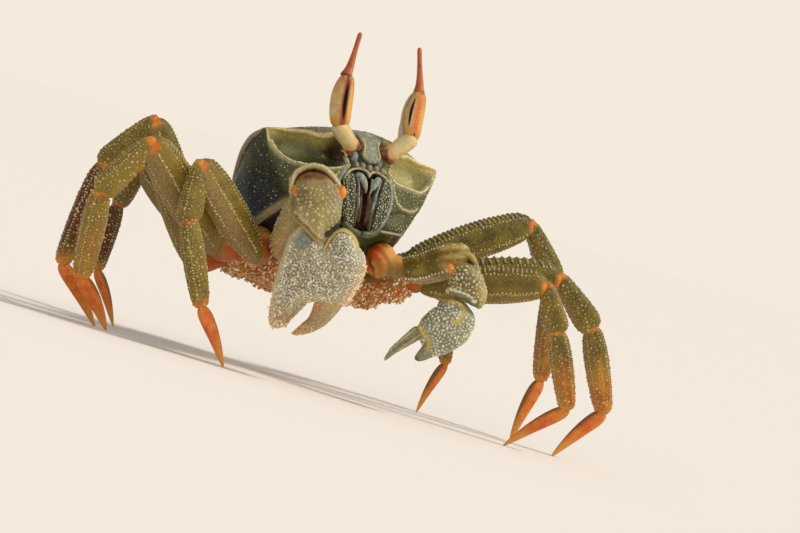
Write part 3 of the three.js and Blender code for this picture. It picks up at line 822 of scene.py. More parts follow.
# %% Lay the ball's rings over the body
def shell_places(u, turn):
    """u runs from the rear end (0) to the middle of the face (1), turn goes round the body (-1 to 1)."""
    s, mirror = np.abs(turn), np.where(turn < 0, -1.0, 1.0)
    t = np.clip(u / BACK_SHARE, 0, 1) ** 0.85
    size = 1 - np.clip((u - BACK_SHARE) / (1 - BACK_SHARE), 0, 1)
    side, up = section(t, s)
    side, up = side * size, FACE_HEART + (up - FACE_HEART) * size
    # the face's edge is sharp above the eyes and falls back, rounded, below them
    fall = 0.25 + 2.1 * step(s, 0.46, 0.58)
    near_edge = np.clip((size - 0.82) / 0.18, 0, 1)
    front = face_ahead(side, up) - fall * (1 - np.sqrt(1 - 0.98 * near_edge ** 2))
    level = SHELL_REAR + (SHELL_CORNER - SHELL_REAR) * t
    curved = SHELL_REAR + (front - SHELL_REAR) * t
    ahead = level + (curved - level) * step(t, 0.3, 1.0)
    ahead += np.where(t < 0.2, (0.2 - t) * 14 * np.abs(side) / 20, 0)
    close = np.clip(t / 0.05, 0, 1) ** 0.5
    side, up = side * close * mirror, -10.5 + (up + 10.5) * close
    on_face = step(size, 1.0, 0.975)
    ahead += on_face * face_relief(side, up)
    # the front edge dips between the eyestalks
    up = up - 1.0 * near(side, 4.8) * step(t, 0.55, 1.0) * step(s, 0.6, 0.3) * (1 - 0.8 * on_face)
    # under the side walls the shell steps in, to make room for the legs' first joints
    tuck = step(s, 0.705, 0.73) * (1 - step(s, 0.86, 0.95)) * step(t, 0.12, 0.3) * (1 - on_face)
    side = side - mirror * 1.5 * tuck
    up = up + 0.5 * tuck
    return side, ahead, up, s, t, on_face


bpy.ops.object.select_all(action="DESELECT")
bpy.ops.mesh.primitive_uv_sphere_add(segments=288, ring_count=200, radius=1)
shell = bpy.context.object
sphere = points_of(shell)
side, ahead, up, s, t, on_face = shell_places(
    1 - np.arccos(np.clip(sphere[:, 2], -1, 1)) / np.pi, np.arctan2(sphere[:, 0], sphere[:, 1]) / np.pi
)
set_points(shell, np.stack([side, ahead, up], 1))
outward(shell)
print("shell points:", len(side))

# %% [markdown]
# The shell's colours follow its shape, so they are stored where the shape is made: cream on ridges,
# gold under the rim (more of it on the crab's lit left side, which is painted light), a painted
# grey sheen in the eye hollows, blue-black low on the side walls, the walls darkened partly by
# painted shade, and painted shade in the crevice under them.

# %% Mark the shell's colours
x = np.abs(side)
above_rim = up - line_height(RIM_LINE, side)
band = 0.45 + 0.6 * step(x, 15, 8)
rim = on_face * step(above_rim, -0.25, 0.05) * step(above_rim, band + 0.25, band) * step(x, 3.6, 5.0)
ridge = near(distance_to(RIDGE_LINE, side, up), 0.45) * on_face
lobe = near(distance_to(LOBE_LINE, side, up), 0.3) * on_face
strip = near(distance_to(STRIP_LINE, side, up), 0.6) * on_face
seam = near(distance_to(SEAM_LINE, side, up), 0.2) * on_face
on_back = (s < 0.455) * (1 - on_face)
on_wall = ((s >= 0.44) & (s < 0.74)) * (1 - on_face)
foot_rim = near(s - 0.706, 0.009) * (1 - on_face) * step(t, 0.2, 0.35)
hollow = np.clip(in_hollow(side, up) / 2.4, 0, 1) * on_face
left = side > 0
# gold under the rim; the extra on the crab's left, and in its hollow, is painted light
gold = on_face * step(above_rim, -2.6, -0.3) * step(above_rim, 0.3, 0.0) * np.where(left, 0.95,
    0.6) * step(x, 3, 6)
gold = np.maximum(gold, np.where(left, 0.65, 0.0) * hollow)
# painted sheen: a pale highlight in each eye hollow, larger on the crab's lit left side
painted_sheen = np.where(left, near(np.hypot(x - 14.5, (up + 4.2) * 1.4), 4.6),
                 near(np.hypot(x - 16.0, (up + 3.6) * 1.5), 3.4))
pit = near(np.hypot((x - 4.8) / 1.2, up + 2.9), 2.2) * on_face
middle = on_face * step(x, 5.2, 4.4) * step(up, -7.0, -6.2)
margin = near(s - 0.45, 0.012) * (1 - on_face) * step(t, 0.15, 0.3)
mark(shell, "cream", np.clip(np.maximum.reduce([ridge, rim, 0.6 * lobe, 0.7 * foot_rim]), 0, 1))
mark(shell, "gold", np.clip(gold, 0, 1))
mark(shell, "painted_sheen", 0.75 * painted_sheen * hollow)
mark(shell, "blue", np.clip(on_wall * step(up, -5.5, -10.5) * step(ahead, 11, 2) * step(ahead, -10,
    -3), 0, 1))
mark(shell, "grey", np.clip(on_face * step(above_rim, band, band + 0.3) + on_back * step(ahead, 9, 15),
                            0, 1))
mark(shell, "smooth", np.clip(0.8 * strip + 0.5 * middle, 0, 1))
mark(shell, "margin", margin)
# the side walls darkened, partly their own colour, partly painted shade
mark(shell, "wall", 0.85 * on_wall * (1 - margin))
# painted shade in the crevice under the side walls, weaker on the crab's lit left side
under = step(s, 0.712, 0.73) * step(s, 0.9, 0.8) * (1 - on_face) * step(ahead, 6, 0) * np.where(left,
    0.3, 1.0)
brown = np.maximum.reduce([in_mouth(side, up) * on_face, 0.85 * pit, seam, under])
mark(shell, "dark", np.clip(brown, 0, 1))
mark(shell, "bead", 0.0)


# %% The shell's side margins
margins = []
for mirror_side in (-1, 1):
    path = []
    for place_t in np.linspace(0.3, 0.94, 22):
        nearest = np.argmin(np.abs(s - 0.452) * 8 + np.abs(t - place_t)
                            + 9 * (np.sign(side) != mirror_side) + 9 * on_face)
        path.append((side[nearest] + 0.25 * mirror_side, ahead[nearest], up[nearest] - 0.2))
    margins.append(path)
print("margin points:", len(margins[0]))

# %% Beads on the face's lines
def on_the_face(side, up):
    """A place on the finished face."""
    side, up = np.asarray(side, float), np.asarray(up, float)
    return np.stack([side, face_ahead(side, up) + face_relief(side, up), up], -1)


def face_bead(side, up, radius, tone, height=0.8, stretch=1.0, axis=(1, 0, 0)):
    """One bead set on the face."""
    d = 0.2
    normal = np.cross(on_the_face(side, up + d) - on_the_face(side, up - d), on_the_face(side + d, up)
                      - on_the_face(side - d, up))
    normal /= np.linalg.norm(normal)
    normal = normal if normal[1] > 0 else -normal
    return (on_the_face(side, up), normal, axis, radius, stretch, height, tone)


def along_line(line, spacing):
    """Points at even spacing along a line of points."""
    steps = np.hypot(*np.diff(line, axis=0).T)
    reach = np.concatenate([[0], np.cumsum(steps)])
    at = np.arange(0, reach[-1], spacing)
    return np.stack([np.interp(at, reach, line[:, 0]), np.interp(at, reach, line[:, 1])], 1)


spots = []
for mirror_side in (-1, 1):
    for place_x, place_up in along_line(RIDGE_LINE, 0.5):
        if place_x < 20.8:
            spots.append(face_bead(mirror_side * place_x, place_up, rng.uniform(0.28, 0.4),
                                   rng.uniform(0.55, 0.9)))
    for place_x, place_up in along_line(LOBE_LINE, 0.8):
        spots.append(face_bead(mirror_side * place_x, place_up, rng.uniform(0.22, 0.34), 0.8))
print("ridge beads:", len(spots))


# %% [markdown]
# Fine beads are thrown over the shell at random, but only where a ghost crab has them: on the front
# of the back and its rim, on the cheeks below the eye ridges, and a few white ones on the walls.

# %% Scattered beads
def beaded_places(places, normals):
    """Which places on the shell may hold a fine bead."""
    side, ahead, up = places.T
    x = np.abs(side)
    draw = np.random.default_rng(5).random(len(x))
    front = normals[:, 1] > 0.35
    ridge_gap = line_height(RIDGE_LINE, side) - up
    cheek = front & (ridge_gap > 0.7) & (x > 7.4) & (up > -19) & (distance_to(SEAM_LINE, side, up) > 0.5)
    rim_strip = (ahead > 9) & (up > line_height(RIM_LINE, side) + 0.9) & (x < 21)
    back = (normals[:, 2] > 0.5) & (ahead <= 9) & (up > -9)
    walls = (~front) & (normals[:, 2] < 0.5) & (up > -16) & (ahead > -12)
    return (cheek & (draw < np.where(places[:, 0] > 0, 0.9, 0.12))) | rim_strip | (back
        & (draw < 0.4)) | (walls & (draw < 0.035))


spots += scatter(shell, 0.72, 0.1, 0.21, keep=beaded_places, tries=40000, seed=11, height=0.75,
                 tone=(0.25, 0.9))
shell_beads = bead_mesh("carapace_beads", spots)
SHELL_MARKS = ("cream", "gold", "painted_sheen", "blue", "grey", "smooth", "margin", "wall", "dark")
mark_all(shell_beads, SHELL_MARKS)
shell.name = "carapace_plate"
for piece in (shell, shell_beads):
    place(piece, BODY)
    outward(piece)
    finish_piece(piece, SHELL, "shell", "carapace")
    print(piece.name, "faces:", len(piece.data.polygons))

# %% [markdown]
# ## Between the eyes
# A narrow plate is bent down between the eyestalks. It is wide where it leaves the back, narrows
# to a waist and ends in a round tip. Its two edges are raised, smooth and cream, and the middle is
# finely beaded. It is one loft, and its edges are raised by moving the points near them.

# %% Front plate
PLATE_ROWS = [(-0.04, 0.3, 3.6), (0.0, 0.5, 3.5), (0.08, 0.6, 3.1), (0.2, 0.66, 2.55),
              (0.34, 0.7, 2.15), (0.48, 0.7, 2.05),
              (0.62, 0.7, 2.4), (0.76, 0.7, 2.55), (0.88, 0.68, 2.1), (0.96, 0.6, 1.4), (1.0, 0.4, 0.7)]


def make_front_plate():
    """The plate between the eyes, with raised edges and a beaded middle."""
    start, end = Vector((0, 18.3, 0.3)), Vector((0, 19.0, -5.9))
    length = (end - start).length
    piece = loft("front_plate", PLATE_ROWS, length, sides=16, levels=3)
    co = points_of(piece)
    rows = np.array(PLATE_ROWS)
    half = np.interp(co[:, 2] / length, rows[:, 0], rows[:, 2])
    across = np.abs(co[:, 1]) / half
    tip = step(co[:, 2] / length, 0.86, 0.97)
    edge = np.clip(near(across - 0.84, 0.13) * step(co[:, 2] / length, 0.08, 0.2) * (1 - 0.7 * tip), 0, 1)
    front = np.clip(co[:, 0] * 3, 0, 1)
    co[:, 0] += front * (0.5 * edge - 0.25 * near(across, 0.5))
    set_points(piece, co)
    mark_all(piece, SHELL_MARKS)
    mark(piece, "cream", edge * front)
    mark(piece, "grey", 0.75)
    mark(piece, "bead", 0.0)

    def inside(places, normals):
        wide = np.interp(places[:, 2] / length, rows[:, 0], rows[:, 2])
        return (normals[:, 0] > 0.3) & (np.abs(places[:, 1]) < 0.74 * wide)

    beads = bead_mesh("front_plate_beads", scatter(piece, 0.42, 0.09, 0.15, keep=inside, tries=2600,
                                                   seed=3, tone=(0.1, 0.5)))
    mark_all(beads, SHELL_MARKS)
    join([piece, beads], "front_plate")
    place(piece, BODY @ stand_on(start, end, Vector((0, 1, 0))))
    return finish_piece(piece, SHELL, "shell", "rostrum")


make_front_plate()


# %% [markdown]
# ## The mouth
# Two outer plates close the mouth like a pair of doors that leave a slit between them. Above them
# an arch of smooth rim meets in a small tooth, and small limbs fill the slit: grey-blue palps above,
# red-brown jaws below. Each is a loft; the curved ones are bent along a path after they are drawn.

# %% Bend a straight loft along a path
def bend_along(piece, path, length, reference):
    """Carry a loft that runs up Z onto a smooth path. reference is the direction its X faces."""
    path = np.array(path, float)
    steps = np.linalg.norm(np.diff(path, axis=0), axis=1)
    reach = np.concatenate([[0], np.cumsum(steps)]) / steps.sum()
    fine = np.linspace(0, 1, 201)
    line = np.stack([np.interp(fine, reach, path[:, c]) for c in range(3)], 1)
    kernel = np.exp(-0.5 * np.linspace(-2.5, 2.5, 31) ** 2)
    kernel /= kernel.sum()
    ends = 2 * line[[0, -1]]
    padded = np.concatenate([ends[0] - line[15:0:-1], line, ends[1] - line[-2:-17:-1]])
    line = np.stack([np.convolve(padded[:, c], kernel, "valid") for c in range(3)], 1)
    along = np.gradient(line, axis=0)
    along /= np.linalg.norm(along, axis=1)[:, None]
    thick = np.cross(along, np.array(reference, float))
    thick /= np.linalg.norm(thick, axis=1)[:, None]
    deep = np.cross(thick, along)
    co = points_of(piece)
    at = co[:, 2] / length
    over = (at - np.clip(at, 0, 1))[:, None] * length

    def read(values):
        return np.stack([np.interp(at, fine, values[:, c]) for c in range(3)], 1)

    set_points(piece, read(line) + read(along) * over + read(deep) * co[:, :1] + read(thick) * co[:, 1:2])
    return piece


def limb(name, rows, path, reference=(0, 1, 0), sides=12, levels=2):
    """A loft bent along a path. Its X faces the reference direction."""
    length = float(np.linalg.norm(np.diff(np.array(path, float), axis=0), axis=1).sum())
    piece = loft(name, rows, length, sides=sides, levels=levels)
    return bend_along(piece, path, length, reference)


def small_part(name, rows, path, reference=(0, 1, 0), sides=10, levels=2, **marks):
    """A small loft bent along a path on the body, with its colour marks."""
    piece = limb(name, rows, path, reference, sides, levels)
    for label in (*SHELL_MARKS, "bead"):
        mark(piece, label, marks.get(label, 0.0))
    return piece


PEBBLE_ROWS = [(0.0, 0.3, 0.3), (0.08, 0.62, 0.62), (0.3, 0.95, 0.95), (0.55, 1.0, 1.0),
               (0.8, 0.78, 0.78), (0.96, 0.4, 0.4), (1.0, 0.15, 0.15)]
BAR_ROWS = [(-0.02, 0.3, 0.3), (0.0, 0.8, 0.8), (0.1, 1.0, 1.0), (0.5, 1.0, 1.0), (0.9, 1.0, 1.0),
            (1.0, 0.8, 0.8), (1.02, 0.3, 0.3)]


# %% Outer mouth plates
def make_mouth_plate(name, side_sign):
    """One of the two doors of the mouth: a beaded plate with a smooth blue-white inner edge."""
    top, low = Vector((side_sign * 4.4, 17.7, -8.7)), Vector((side_sign * 2.7, 14.5, -20.2))
    length = (low - top).length
    rows = [(-0.02, 0.4, 0.8), (0.03, 0.8, 1.45), (0.12, 1.05, 1.95), (0.24, 1.15, 2.15),
            (0.36, 1.1, 2.2), (0.41, 0.9, 2.12),
            (0.46, 1.12, 2.2), (0.62, 1.15, 2.15), (0.78, 1.05, 1.9), (0.9, 0.85, 1.4),
            (0.98, 0.5, 0.8), (1.0, 0.3, 0.4)]
    piece = loft(name, rows, length, sides=16, levels=3)
    matrix = stand_on(top, low, Vector((0, 1, 0)))
    inward = -side_sign * (1 if (matrix.to_3x3() @ Vector((0, 1, 0))).x > 0 else -1)
    co = points_of(piece)
    table = np.array(rows)
    across = co[:, 1] * inward / np.interp(co[:, 2] / length, table[:, 0], table[:, 2])
    along = co[:, 2] / length
    front = np.clip(co[:, 0] * 2, 0, 1)
    ridge = near(across - 0.78, 0.15) * step(along, 0.02, 0.1) * step(along, 0.66, 0.56)
    groove = near(across - 0.42, 0.12) * step(along, 0.42, 0.5) + near(across - 0.5, 0.1) * step(along,
        0.4, 0.3)
    outer = near(across + 0.75, 0.2)
    co[:, 0] += front * (0.5 * ridge - 0.4 * groove + 0.3 * outer - 0.25 * near(across + 0.3, 0.3))
    set_points(piece, co)
    mark_all(piece, (*SHELL_MARKS, "bead"))
    mark(piece, "smooth", 0.95 * ridge * front)
    mark(piece, "dark", 0.75 * groove * front + 0.5 * near(along - 0.41, 0.02) * front)
    mark(piece, "blue", 0.45 * near(across + 0.1, 0.5) * front)

    def place_for_bead(places, normals):
        shift = places[:, 1] * inward / np.interp(places[:, 2] / length, table[:, 0], table[:, 2])
        draw = np.random.default_rng(8).random(len(shift))
        return (normals[:, 0] > 0.1) & (np.abs(shift - 0.78) > 0.22) & (np.abs(shift
            - 0.42) > 0.16) & (draw < 0.35 + 0.65 * (shift < -0.3))

    beads = bead_mesh(name + "_beads", scatter(piece, 0.52, 0.12, 0.22, keep=place_for_bead,
                                               tries=2600, seed=21))
    mark_all(beads, SHELL_MARKS)
    join([piece, beads], name)
    place(piece, BODY @ matrix)
    return finish_piece(piece, SHELL, "shell", "mouth_plate_" + ("left" if side_sign > 0 else "right"))


make_mouth_plate("mouth_door_left", 1)
make_mouth_plate("mouth_door_right", -1)

# %% Arch, lobes, palps, jaws and feelers
parts = []
for sign in (-1, 1):
    arch = [(sign * px, 18.3 - 0.1 * px, pz + 0.1)
            for px, pz in ((0.0, -8.9), (0.25, -8.1), (0.9, -7.55), (2.1, -7.3), (3.6, -7.6),
                           (5.0, -8.5), (6.0, -10.2))]
    parts.append(small_part("arch", sized(BAR_ROWS, 0.42, 0.3), arch, cream=0.55, smooth=0.3))
    for px, pz, size in ((0.0, -6.7, 0.75), (1.75, -6.6, 0.8), (3.3, -6.7, 0.7)):
        if px or sign > 0:
            path = [(sign * px, 18.3, pz + size), (sign * px, 18.5, pz - size)]
            parts.append(small_part("lobe", sized(PEBBLE_ROWS, 0.75 * size, 0.95 * size), path,
                                    smooth=0.25, cream=0.15))
    palp = [(sign * 3.2, 17.9, -8.6), (sign * 2.2, 18.4, -9.0), (sign * 1.3, 18.4, -10.4),
            (sign * 0.9, 18.0, -11.6)]
    parts.append(small_part("palp", sized(PEBBLE_ROWS, 0.65, 0.85), palp, smooth=0.75))
    palp = [(sign * 0.9, 18.0, -8.9), (sign * 0.85, 18.2, -10.6), (sign * 0.55, 17.6, -12.4)]
    parts.append(small_part("palp_tip", sized(PEBBLE_ROWS, 0.5, 0.42), palp, cream=0.3, smooth=0.3))
    jaw = [(sign * 0.95, 16.5, -11.3), (sign * 1.25, 16.1, -14.0), (sign * 0.8, 14.9, -18.4)]
    parts.append(small_part("jaw", sized(PEBBLE_ROWS, 0.75, 0.8), jaw, dark=1.0))
    pearl = [(sign * 3.0, 17.0, -3.2), (sign * 3.1, 17.3, -4.4), (sign * 2.9, 17.1, -5.8)]
    parts.append(small_part("pearl", sized(PEBBLE_ROWS, 1.0, 1.05), pearl, smooth=1.0, levels=3))
    chin = [(sign * 0.1, 14.6, -20.6), (sign * 2.4, 14.6, -20.3), (sign * 4.6, 15.0, -18.9)]
    parts.append(small_part("chin", sized(BAR_ROWS, 0.9, 0.8), chin, grey=0.15))
    feeler = [(sign * 5.7, 17.2, -4.8), (sign * 5.5, 17.8, -6.0), (sign * 5.0, 18.0, -7.2)]
    parts.append(small_part("feeler_base", sized(PEBBLE_ROWS, 0.5, 0.6), feeler, cream=0.5))
    whip = [(sign * 6.1, 16.6, -3.4), (sign * 6.0, 17.7, -4.1), (sign * 5.7, 18.2, -5.2)]
    parts.append(small_part("feeler", [(-0.02, 0.1, 0.1), (0.0, 0.16, 0.16), (0.4, 0.22, 0.22),
                                       (0.6, 0.18, 0.18), (0.7, 0.28, 0.28), (1.0, 0.3, 0.3)], whip,
                            cream=0.8))
    for turn, low_t, high_t, half in ((0.714, 0.35, 1.0, 0.28), (0.457, 0.2, 0.97, 0.3)):
        share = np.linspace(low_t, high_t, 15)
        places = shell_places(BACK_SHARE * share ** (1 / 0.85), np.full(15, sign * turn))
        edge_path = np.stack(places[:3], 1) + (sign * 0.1, 0, 0)
        parts.append(small_part("edge_bar", sized(BAR_ROWS, half, half), edge_path, (0, 0, 1), margin=1.0))
    front_edge = on_the_face(np.linspace(5.6, 12.0, 9) * sign, np.linspace(-18.6, -17.6, 9))
    parts.append(small_part("front_edge", sized(BAR_ROWS, 0.3, 0.3), front_edge, (0, 0, 1), margin=1.0))
for path in margins:
    parts.append(small_part("margin_bar", sized(BAR_ROWS, 0.5, 0.75), path, (0, 0, 1), margin=1.0))
mouth_parts = join(parts, "mouth_parts")
place(mouth_parts, BODY)
outward(mouth_parts)
finish_piece(mouth_parts, SHELL, "shell", "carapace")
print("mouth parts:", len(parts))

# %% [markdown]
# ## Joints of the limbs
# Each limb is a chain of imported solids. The two ends of a solid's line of centres are where many of
# its edges meet in one point, so the joints are read from the solids. The claws' knees and the
# larger claw's wrist are moved a little where they are used.

# %% Read the joints from the solids
def solid_ends(node):
    """The two poles of a lofted solid, in millimetres."""
    mesh = bmesh.new()
    mesh.from_mesh(frame["nodes"][node].data)
    bmesh.ops.remove_doubles(mesh, verts=mesh.verts, dist=1e-6)
    poles = sorted(mesh.verts, key=lambda v: -len(v.link_edges))[:2]
    out = [v.co / MM for v in poles]
    mesh.free()
    return out


def solid_points(node):
    """All corners of a solid, in millimetres."""
    return points_of(frame["nodes"][node]) / MM


def chain_joints(nodes, body_centre):
    """The joints of a chain of solids, from the body outwards."""
    joints, last = [], Vector(body_centre)
    for node in nodes:
        a, b = solid_ends(node)
        if (b - last).length < (a - last).length:
            a, b = b, a
        if joints:
            joints[-1] = (joints[-1] + a) / 2
        else:
            joints.append(a)
        joints.append(b)
        last = b
    return joints


def half_sizes(node, start, end, deep_axis):
    """Half the solid's size across its line of centres: deep and thick."""
    matrix = np.array(stand_on(start, end, deep_axis).inverted())
    co = solid_points(node) @ matrix[:3, :3].T + matrix[:3, 3]
    return (np.ptp(co[:, 0]) / 2, np.ptp(co[:, 1]) / 2)


# %% [markdown]
# ## Walking legs
# A leg is a chain of tubes, flat from front to back. The upper edge of the longest one, the merus,
# is crossed by pale ribs, and rows of cream beads run along its edges. Each segment is one loft of
# rings, with a narrow neck that enters the wider mouth of the segment before it.

# %% Shapes of the leg segments
BASE_ROWS = [(-0.04, 0.3, 0.4), (0.02, 0.62, 0.8), (0.18, 0.8, 1.0), (0.4, 0.86, 1.05), (0.52, 0.74, 0.9),
             (0.62, 0.82, 1.0), (0.85, 0.84, 0.98), (1.0, 0.66, 0.78), (1.05, 0.3, 0.4)]
MERUS_ROWS = [(-0.02, 0.3, 0.36), (0.01, 0.5, 0.62), (0.07, 0.64, 0.82), (0.2, 0.86, 0.97),
              (0.45, 1.0, 1.02),
              (0.7, 1.0, 1.02), (0.86, 0.88, 0.98), (0.955, 0.74, 0.92), (1.0, 0.5, 0.7), (1.01, 0.2, 0.3)]
CARPUS_ROWS = [(-0.07, 0.3, 0.4), (0.0, 0.5, 0.62), (0.1, 0.66, 0.84), (0.34, 0.8, 0.98),
               (0.66, 0.96, 1.02),
               (0.87, 1.0, 1.0), (0.97, 0.86, 0.88), (1.03, 0.5, 0.5), (1.04, 0.2, 0.2)]
PROPODUS_ROWS = [(-0.05, 0.3, 0.4), (0.0, 0.62, 0.7), (0.08, 0.86, 0.94), (0.3, 1.0, 1.02),
                 (0.62, 0.95, 0.98),
                 (0.86, 0.84, 0.88), (0.96, 0.72, 0.78), (1.0, 0.5, 0.56), (1.01, 0.2, 0.2)]
DACTYL_ROWS = [(-0.02, 0.4, 0.4), (0.03, 0.78, 0.8), (0.14, 1.0, 1.0), (0.38, 0.92, 0.92),
               (0.64, 0.7, 0.7),
               (0.86, 0.42, 0.44), (0.97, 0.2, 0.2), (1.0, 0.1, 0.1)]
LEG_SHAPES = {"base": BASE_ROWS, "merus": MERUS_ROWS, "carpus": CARPUS_ROWS, "propodus": PROPODUS_ROWS,
              "dactyl": DACTYL_ROWS}


def edge_row(tree, length, angle, low, high, spacing, radius, tone, stretch=1.0, axis=(0, 0, 1),
             jitter=0.25, height=0.8):
    """A row of beads along a segment at one angle round it. Angle 0 is the upper edge."""
    out = []
    for z in np.arange(low * length, high * length, spacing):
        turn = angle + rng.uniform(-0.05, 0.05)
        aim = Vector((math.cos(turn), math.sin(turn), 0))
        spot, normal, _, _ = tree.ray_cast(Vector((0, 0, z)) + aim * 20, -aim)
        if spot is None:
            continue
        size = radius * (1 + rng.uniform(-jitter, jitter))
        out.append((spot, normal, axis, size, stretch, height, tone * rng.uniform(0.8, 1.0)))
    return out


# %% Build one segment of a leg
# level directions: towards the side that the crab shows, and to the right of that view
FRONT = Vector((-0.515, -0.857, 0))
RIGHTWARD = (0.857, -0.515, 0)


def leg_piece(name, kind, node, start, end, deep_axis, seed, look):
    """One leg segment with its beads. look: gap between ribs, olive (partly painted shade),
    tan (partly painted light), red, belly's edge, stripe.
    """
    rib_gap, olive, tan, dark_red, belly, stripe = look
    belly = belly if kind == "merus" else -0.6
    frame = stand_on(start, end, deep_axis)
    facing = 1 if frame.to_3x3().col[1].dot(FRONT) > 0 else -1
    deep, thick = half_sizes(node, start, end, deep_axis)
    length = (end - start).length
    piece = loft(name, sized(LEG_SHAPES[kind], deep, thick), length, sides=12, levels=2)
    co = points_of(piece)
    along = np.clip(co[:, 2] / length, 0, 1)
    reach = co[:, 0] / deep
    # a limb's section is a rounded box more than an ellipse
    flat = np.abs(co[:, 0] / deep) * np.abs(co[:, 1] / thick)
    co[:, :2] *= (1 + 0.35 * flat)[:, None]
    if kind == "dactyl":
        co[:, 0] -= 0.4 * np.sin(np.pi * along)
    set_points(piece, co)
    marks = dict.fromkeys(("low", "red", "joint", "cream", "pale", "olive", "tan", "gold"),
                          np.zeros(len(co)))
    front = facing * co[:, 1] / thick
    # the brown lower face, partly painted shade; on the merus only on the side the crab shows
    marks["low"] = 0.9 * step(reach, belly + 0.08, belly - 0.1)
    if kind == "merus":
        marks["low"] = marks["low"] * step(front, -0.2, 0.2)
    if kind in ("merus", "carpus", "propodus"):
        marks["olive"] = olive * step(reach, -0.7, 0.1)
        marks["tan"] = np.full(len(co), tan)
    if kind in ("merus", "carpus"):
        marks["joint"] = step(along, 0.945, 0.99) * step(np.abs(reach + 0.25), 0.6, 0.3)
    if kind == "carpus":
        marks["joint"] = np.maximum(marks["joint"], 0.8 * step(along, 0.07, 0.0))
    if kind == "propodus":
        line = stripe * near(reach - 0.1, 0.16) * step(front, 0.4, 0.8) * step(along, 0.2, 0.5)
        marks["joint"] = np.maximum.reduce([0.7 * step(along, 0.05, 0.0),
                                            0.85 * step(along, 0.84, 1.0), line,
                                            0.5 * stripe * step(along, 0.25, 0.7)])
        marks["red"] = dark_red * step(along, 0.95, 0.7)
    if kind == "base":
        marks["olive"] = 0.8 * step(along, 0.2, 0.55)
        # browner lower side, partly painted shade
        marks["low"] = 0.6 * step(reach, 0.2, -0.6)
        marks["gold"] = np.full(len(co), 0.7)
        marks["red"] = 0.7 * near(along - 0.7, 0.3) * step(front, 0.1, 0.6)
    if kind == "dactyl":
        marks["pale"] = 0.9 * step(along, 0.35, 1.0)
        marks["gold"] = 0.3 * step(along, 0.3, 0.0)
    for label, values in marks.items():
        mark(piece, label, values)
    mark(piece, "bead", 0.0)
    tree = surface_of(piece)
    spots = []
    if kind == "merus":
        for angle in (0.0, 0.32, -0.32):
            spots += edge_row(tree, length, angle, 0.1, 0.95, rib_gap, 0.26 * rib_gap ** 0.5, 0.42,
                              stretch=3.0, axis=(0.5 * np.sign(-angle), 1, 0),
                              jitter=0.1, height=1.0)
        edge = facing * math.acos(belly)
        for angle, spacing in ((0.62, 0.85), (-0.62, 0.85), (edge, 0.62), (edge - 0.12 * facing, 0.9),
                               (2.7, 0.8), (-2.7, 0.8)):
            spots += edge_row(tree, length, angle, 0.08, 0.94, spacing, 0.21, 0.75, jitter=0.45)
        spots += scatter(piece, 1.0, 0.08, 0.15, tries=900, seed=seed, height=0.6, tone=(0.2, 0.7))
    if kind == "carpus":
        for angle in (0.0, 0.5, -0.5):
            spots += edge_row(tree, length, angle, 0.1, 0.95, 0.65, 0.17, 0.8)
        spots += scatter(piece, 0.85, 0.12, 0.28, tries=900, seed=seed, tone=(0.1, 0.75), free=0.5)
    if kind == "propodus":
        for angle in (0.0, 0.7, -0.7, 2.5, -2.5):
            spots += edge_row(tree, length, angle, 0.05, 0.9, 0.62, 0.17, 0.8)
        spots += scatter(piece, 0.75, 0.12, 0.28, tries=1200, seed=seed, tone=(0.1, 0.8), free=0.5)
    if kind == "dactyl":
        for angle in (0.9, -0.9, 2.2, -2.2):
            spots += edge_row(tree, length, angle, 0.05, 0.5, 0.7, 0.12, 0.5)
    if spots:
        beads = bead_mesh(name + "_beads", spots)
        mark_all(beads, marks)
        join([piece, beads], name)
    place(piece, frame)
    material = ORANGE if kind in ("base", "dactyl") else LEG
    return finish_piece(piece, material, "orange" if kind in ("base", "dactyl") else "leg", node)


# %% All eight legs
LEG_PARTS = ("base", "merus", "carpus", "propodus", "dactyl")
# gap between ribs in millimetres, how olive, tan and dark red, the belly's edge, the orange stripe
# (which also says how orange the outer part of the propodus is). Olive and tan are partly painted
# light and shade: the shaded left legs get more olive, the sunlit right legs more tan.
LOOKS = {
    ("right", 2): (0.9, 0.45, 0.45, 0.0, -0.1, 0.0), ("right", 3): (0.9, 0.4, 0.75, 0.1, -0.15, 0.4),
    ("right", 4): (0.75, 0.55, 0.3, 0.95, -0.15, 0.0), ("right", 5): (0.8, 0.6, 0.2, 0.95, -0.3, 0.0),
    ("left", 2): (1.0, 0.5, 0.35, 0.1, -0.6, 0.9), ("left", 3): (1.7, 0.65, 0.25, 0.1, -0.72, 0.9),
    ("left", 4): (1.15, 0.75, 0.15, 0.2, -0.72, 0.6), ("left", 5): (1.0, 0.9, 0.0, 0.3, -0.6, 0.3),
}
BODY_CENTRE = body_point(0, 0, -12)
for side_name in ("right", "left"):
    for pair in (2, 3, 4, 5):
        nodes = [f"leg_{side_name}_{pair}_{part}" for part in LEG_PARTS]
        joints = chain_joints(nodes, BODY_CENTRE)
        across = (joints[2] - joints[1]).cross(joints[3] - joints[2]).normalized()
        for number, part in enumerate(LEG_PARTS):
            start, end = joints[number], joints[number + 1]
            deep_axis = (end - start).cross(across).normalized()
            leg_piece(nodes[number] + "_shell", part, nodes[number], start, end, deep_axis,
                      pair * 10 + number, LOOKS[side_name, pair])
print("legs done")

# %% [markdown]
# ## Claws
# Each claw is drawn in flat outline first, as one would sketch it: a ball is pulled out to the
# outline, so its faces bulge like a cushion. Cushions, lobes and fingers are then wrapped in one
# skin, which rounds the creases between them. The solid's own line of joints carries the drawing.
# Most points of the outlines below are not chosen by hand: a separate measuring program gave them
# and they were rounded. The camera's place further down comes from such a program too.

# %% Tools for the claws
CLAW_MARKS = ("olive", "blue", "teal", "tan", "yellow", "joint", "cream", "dark", "red", "low", "pale",
              "gold")


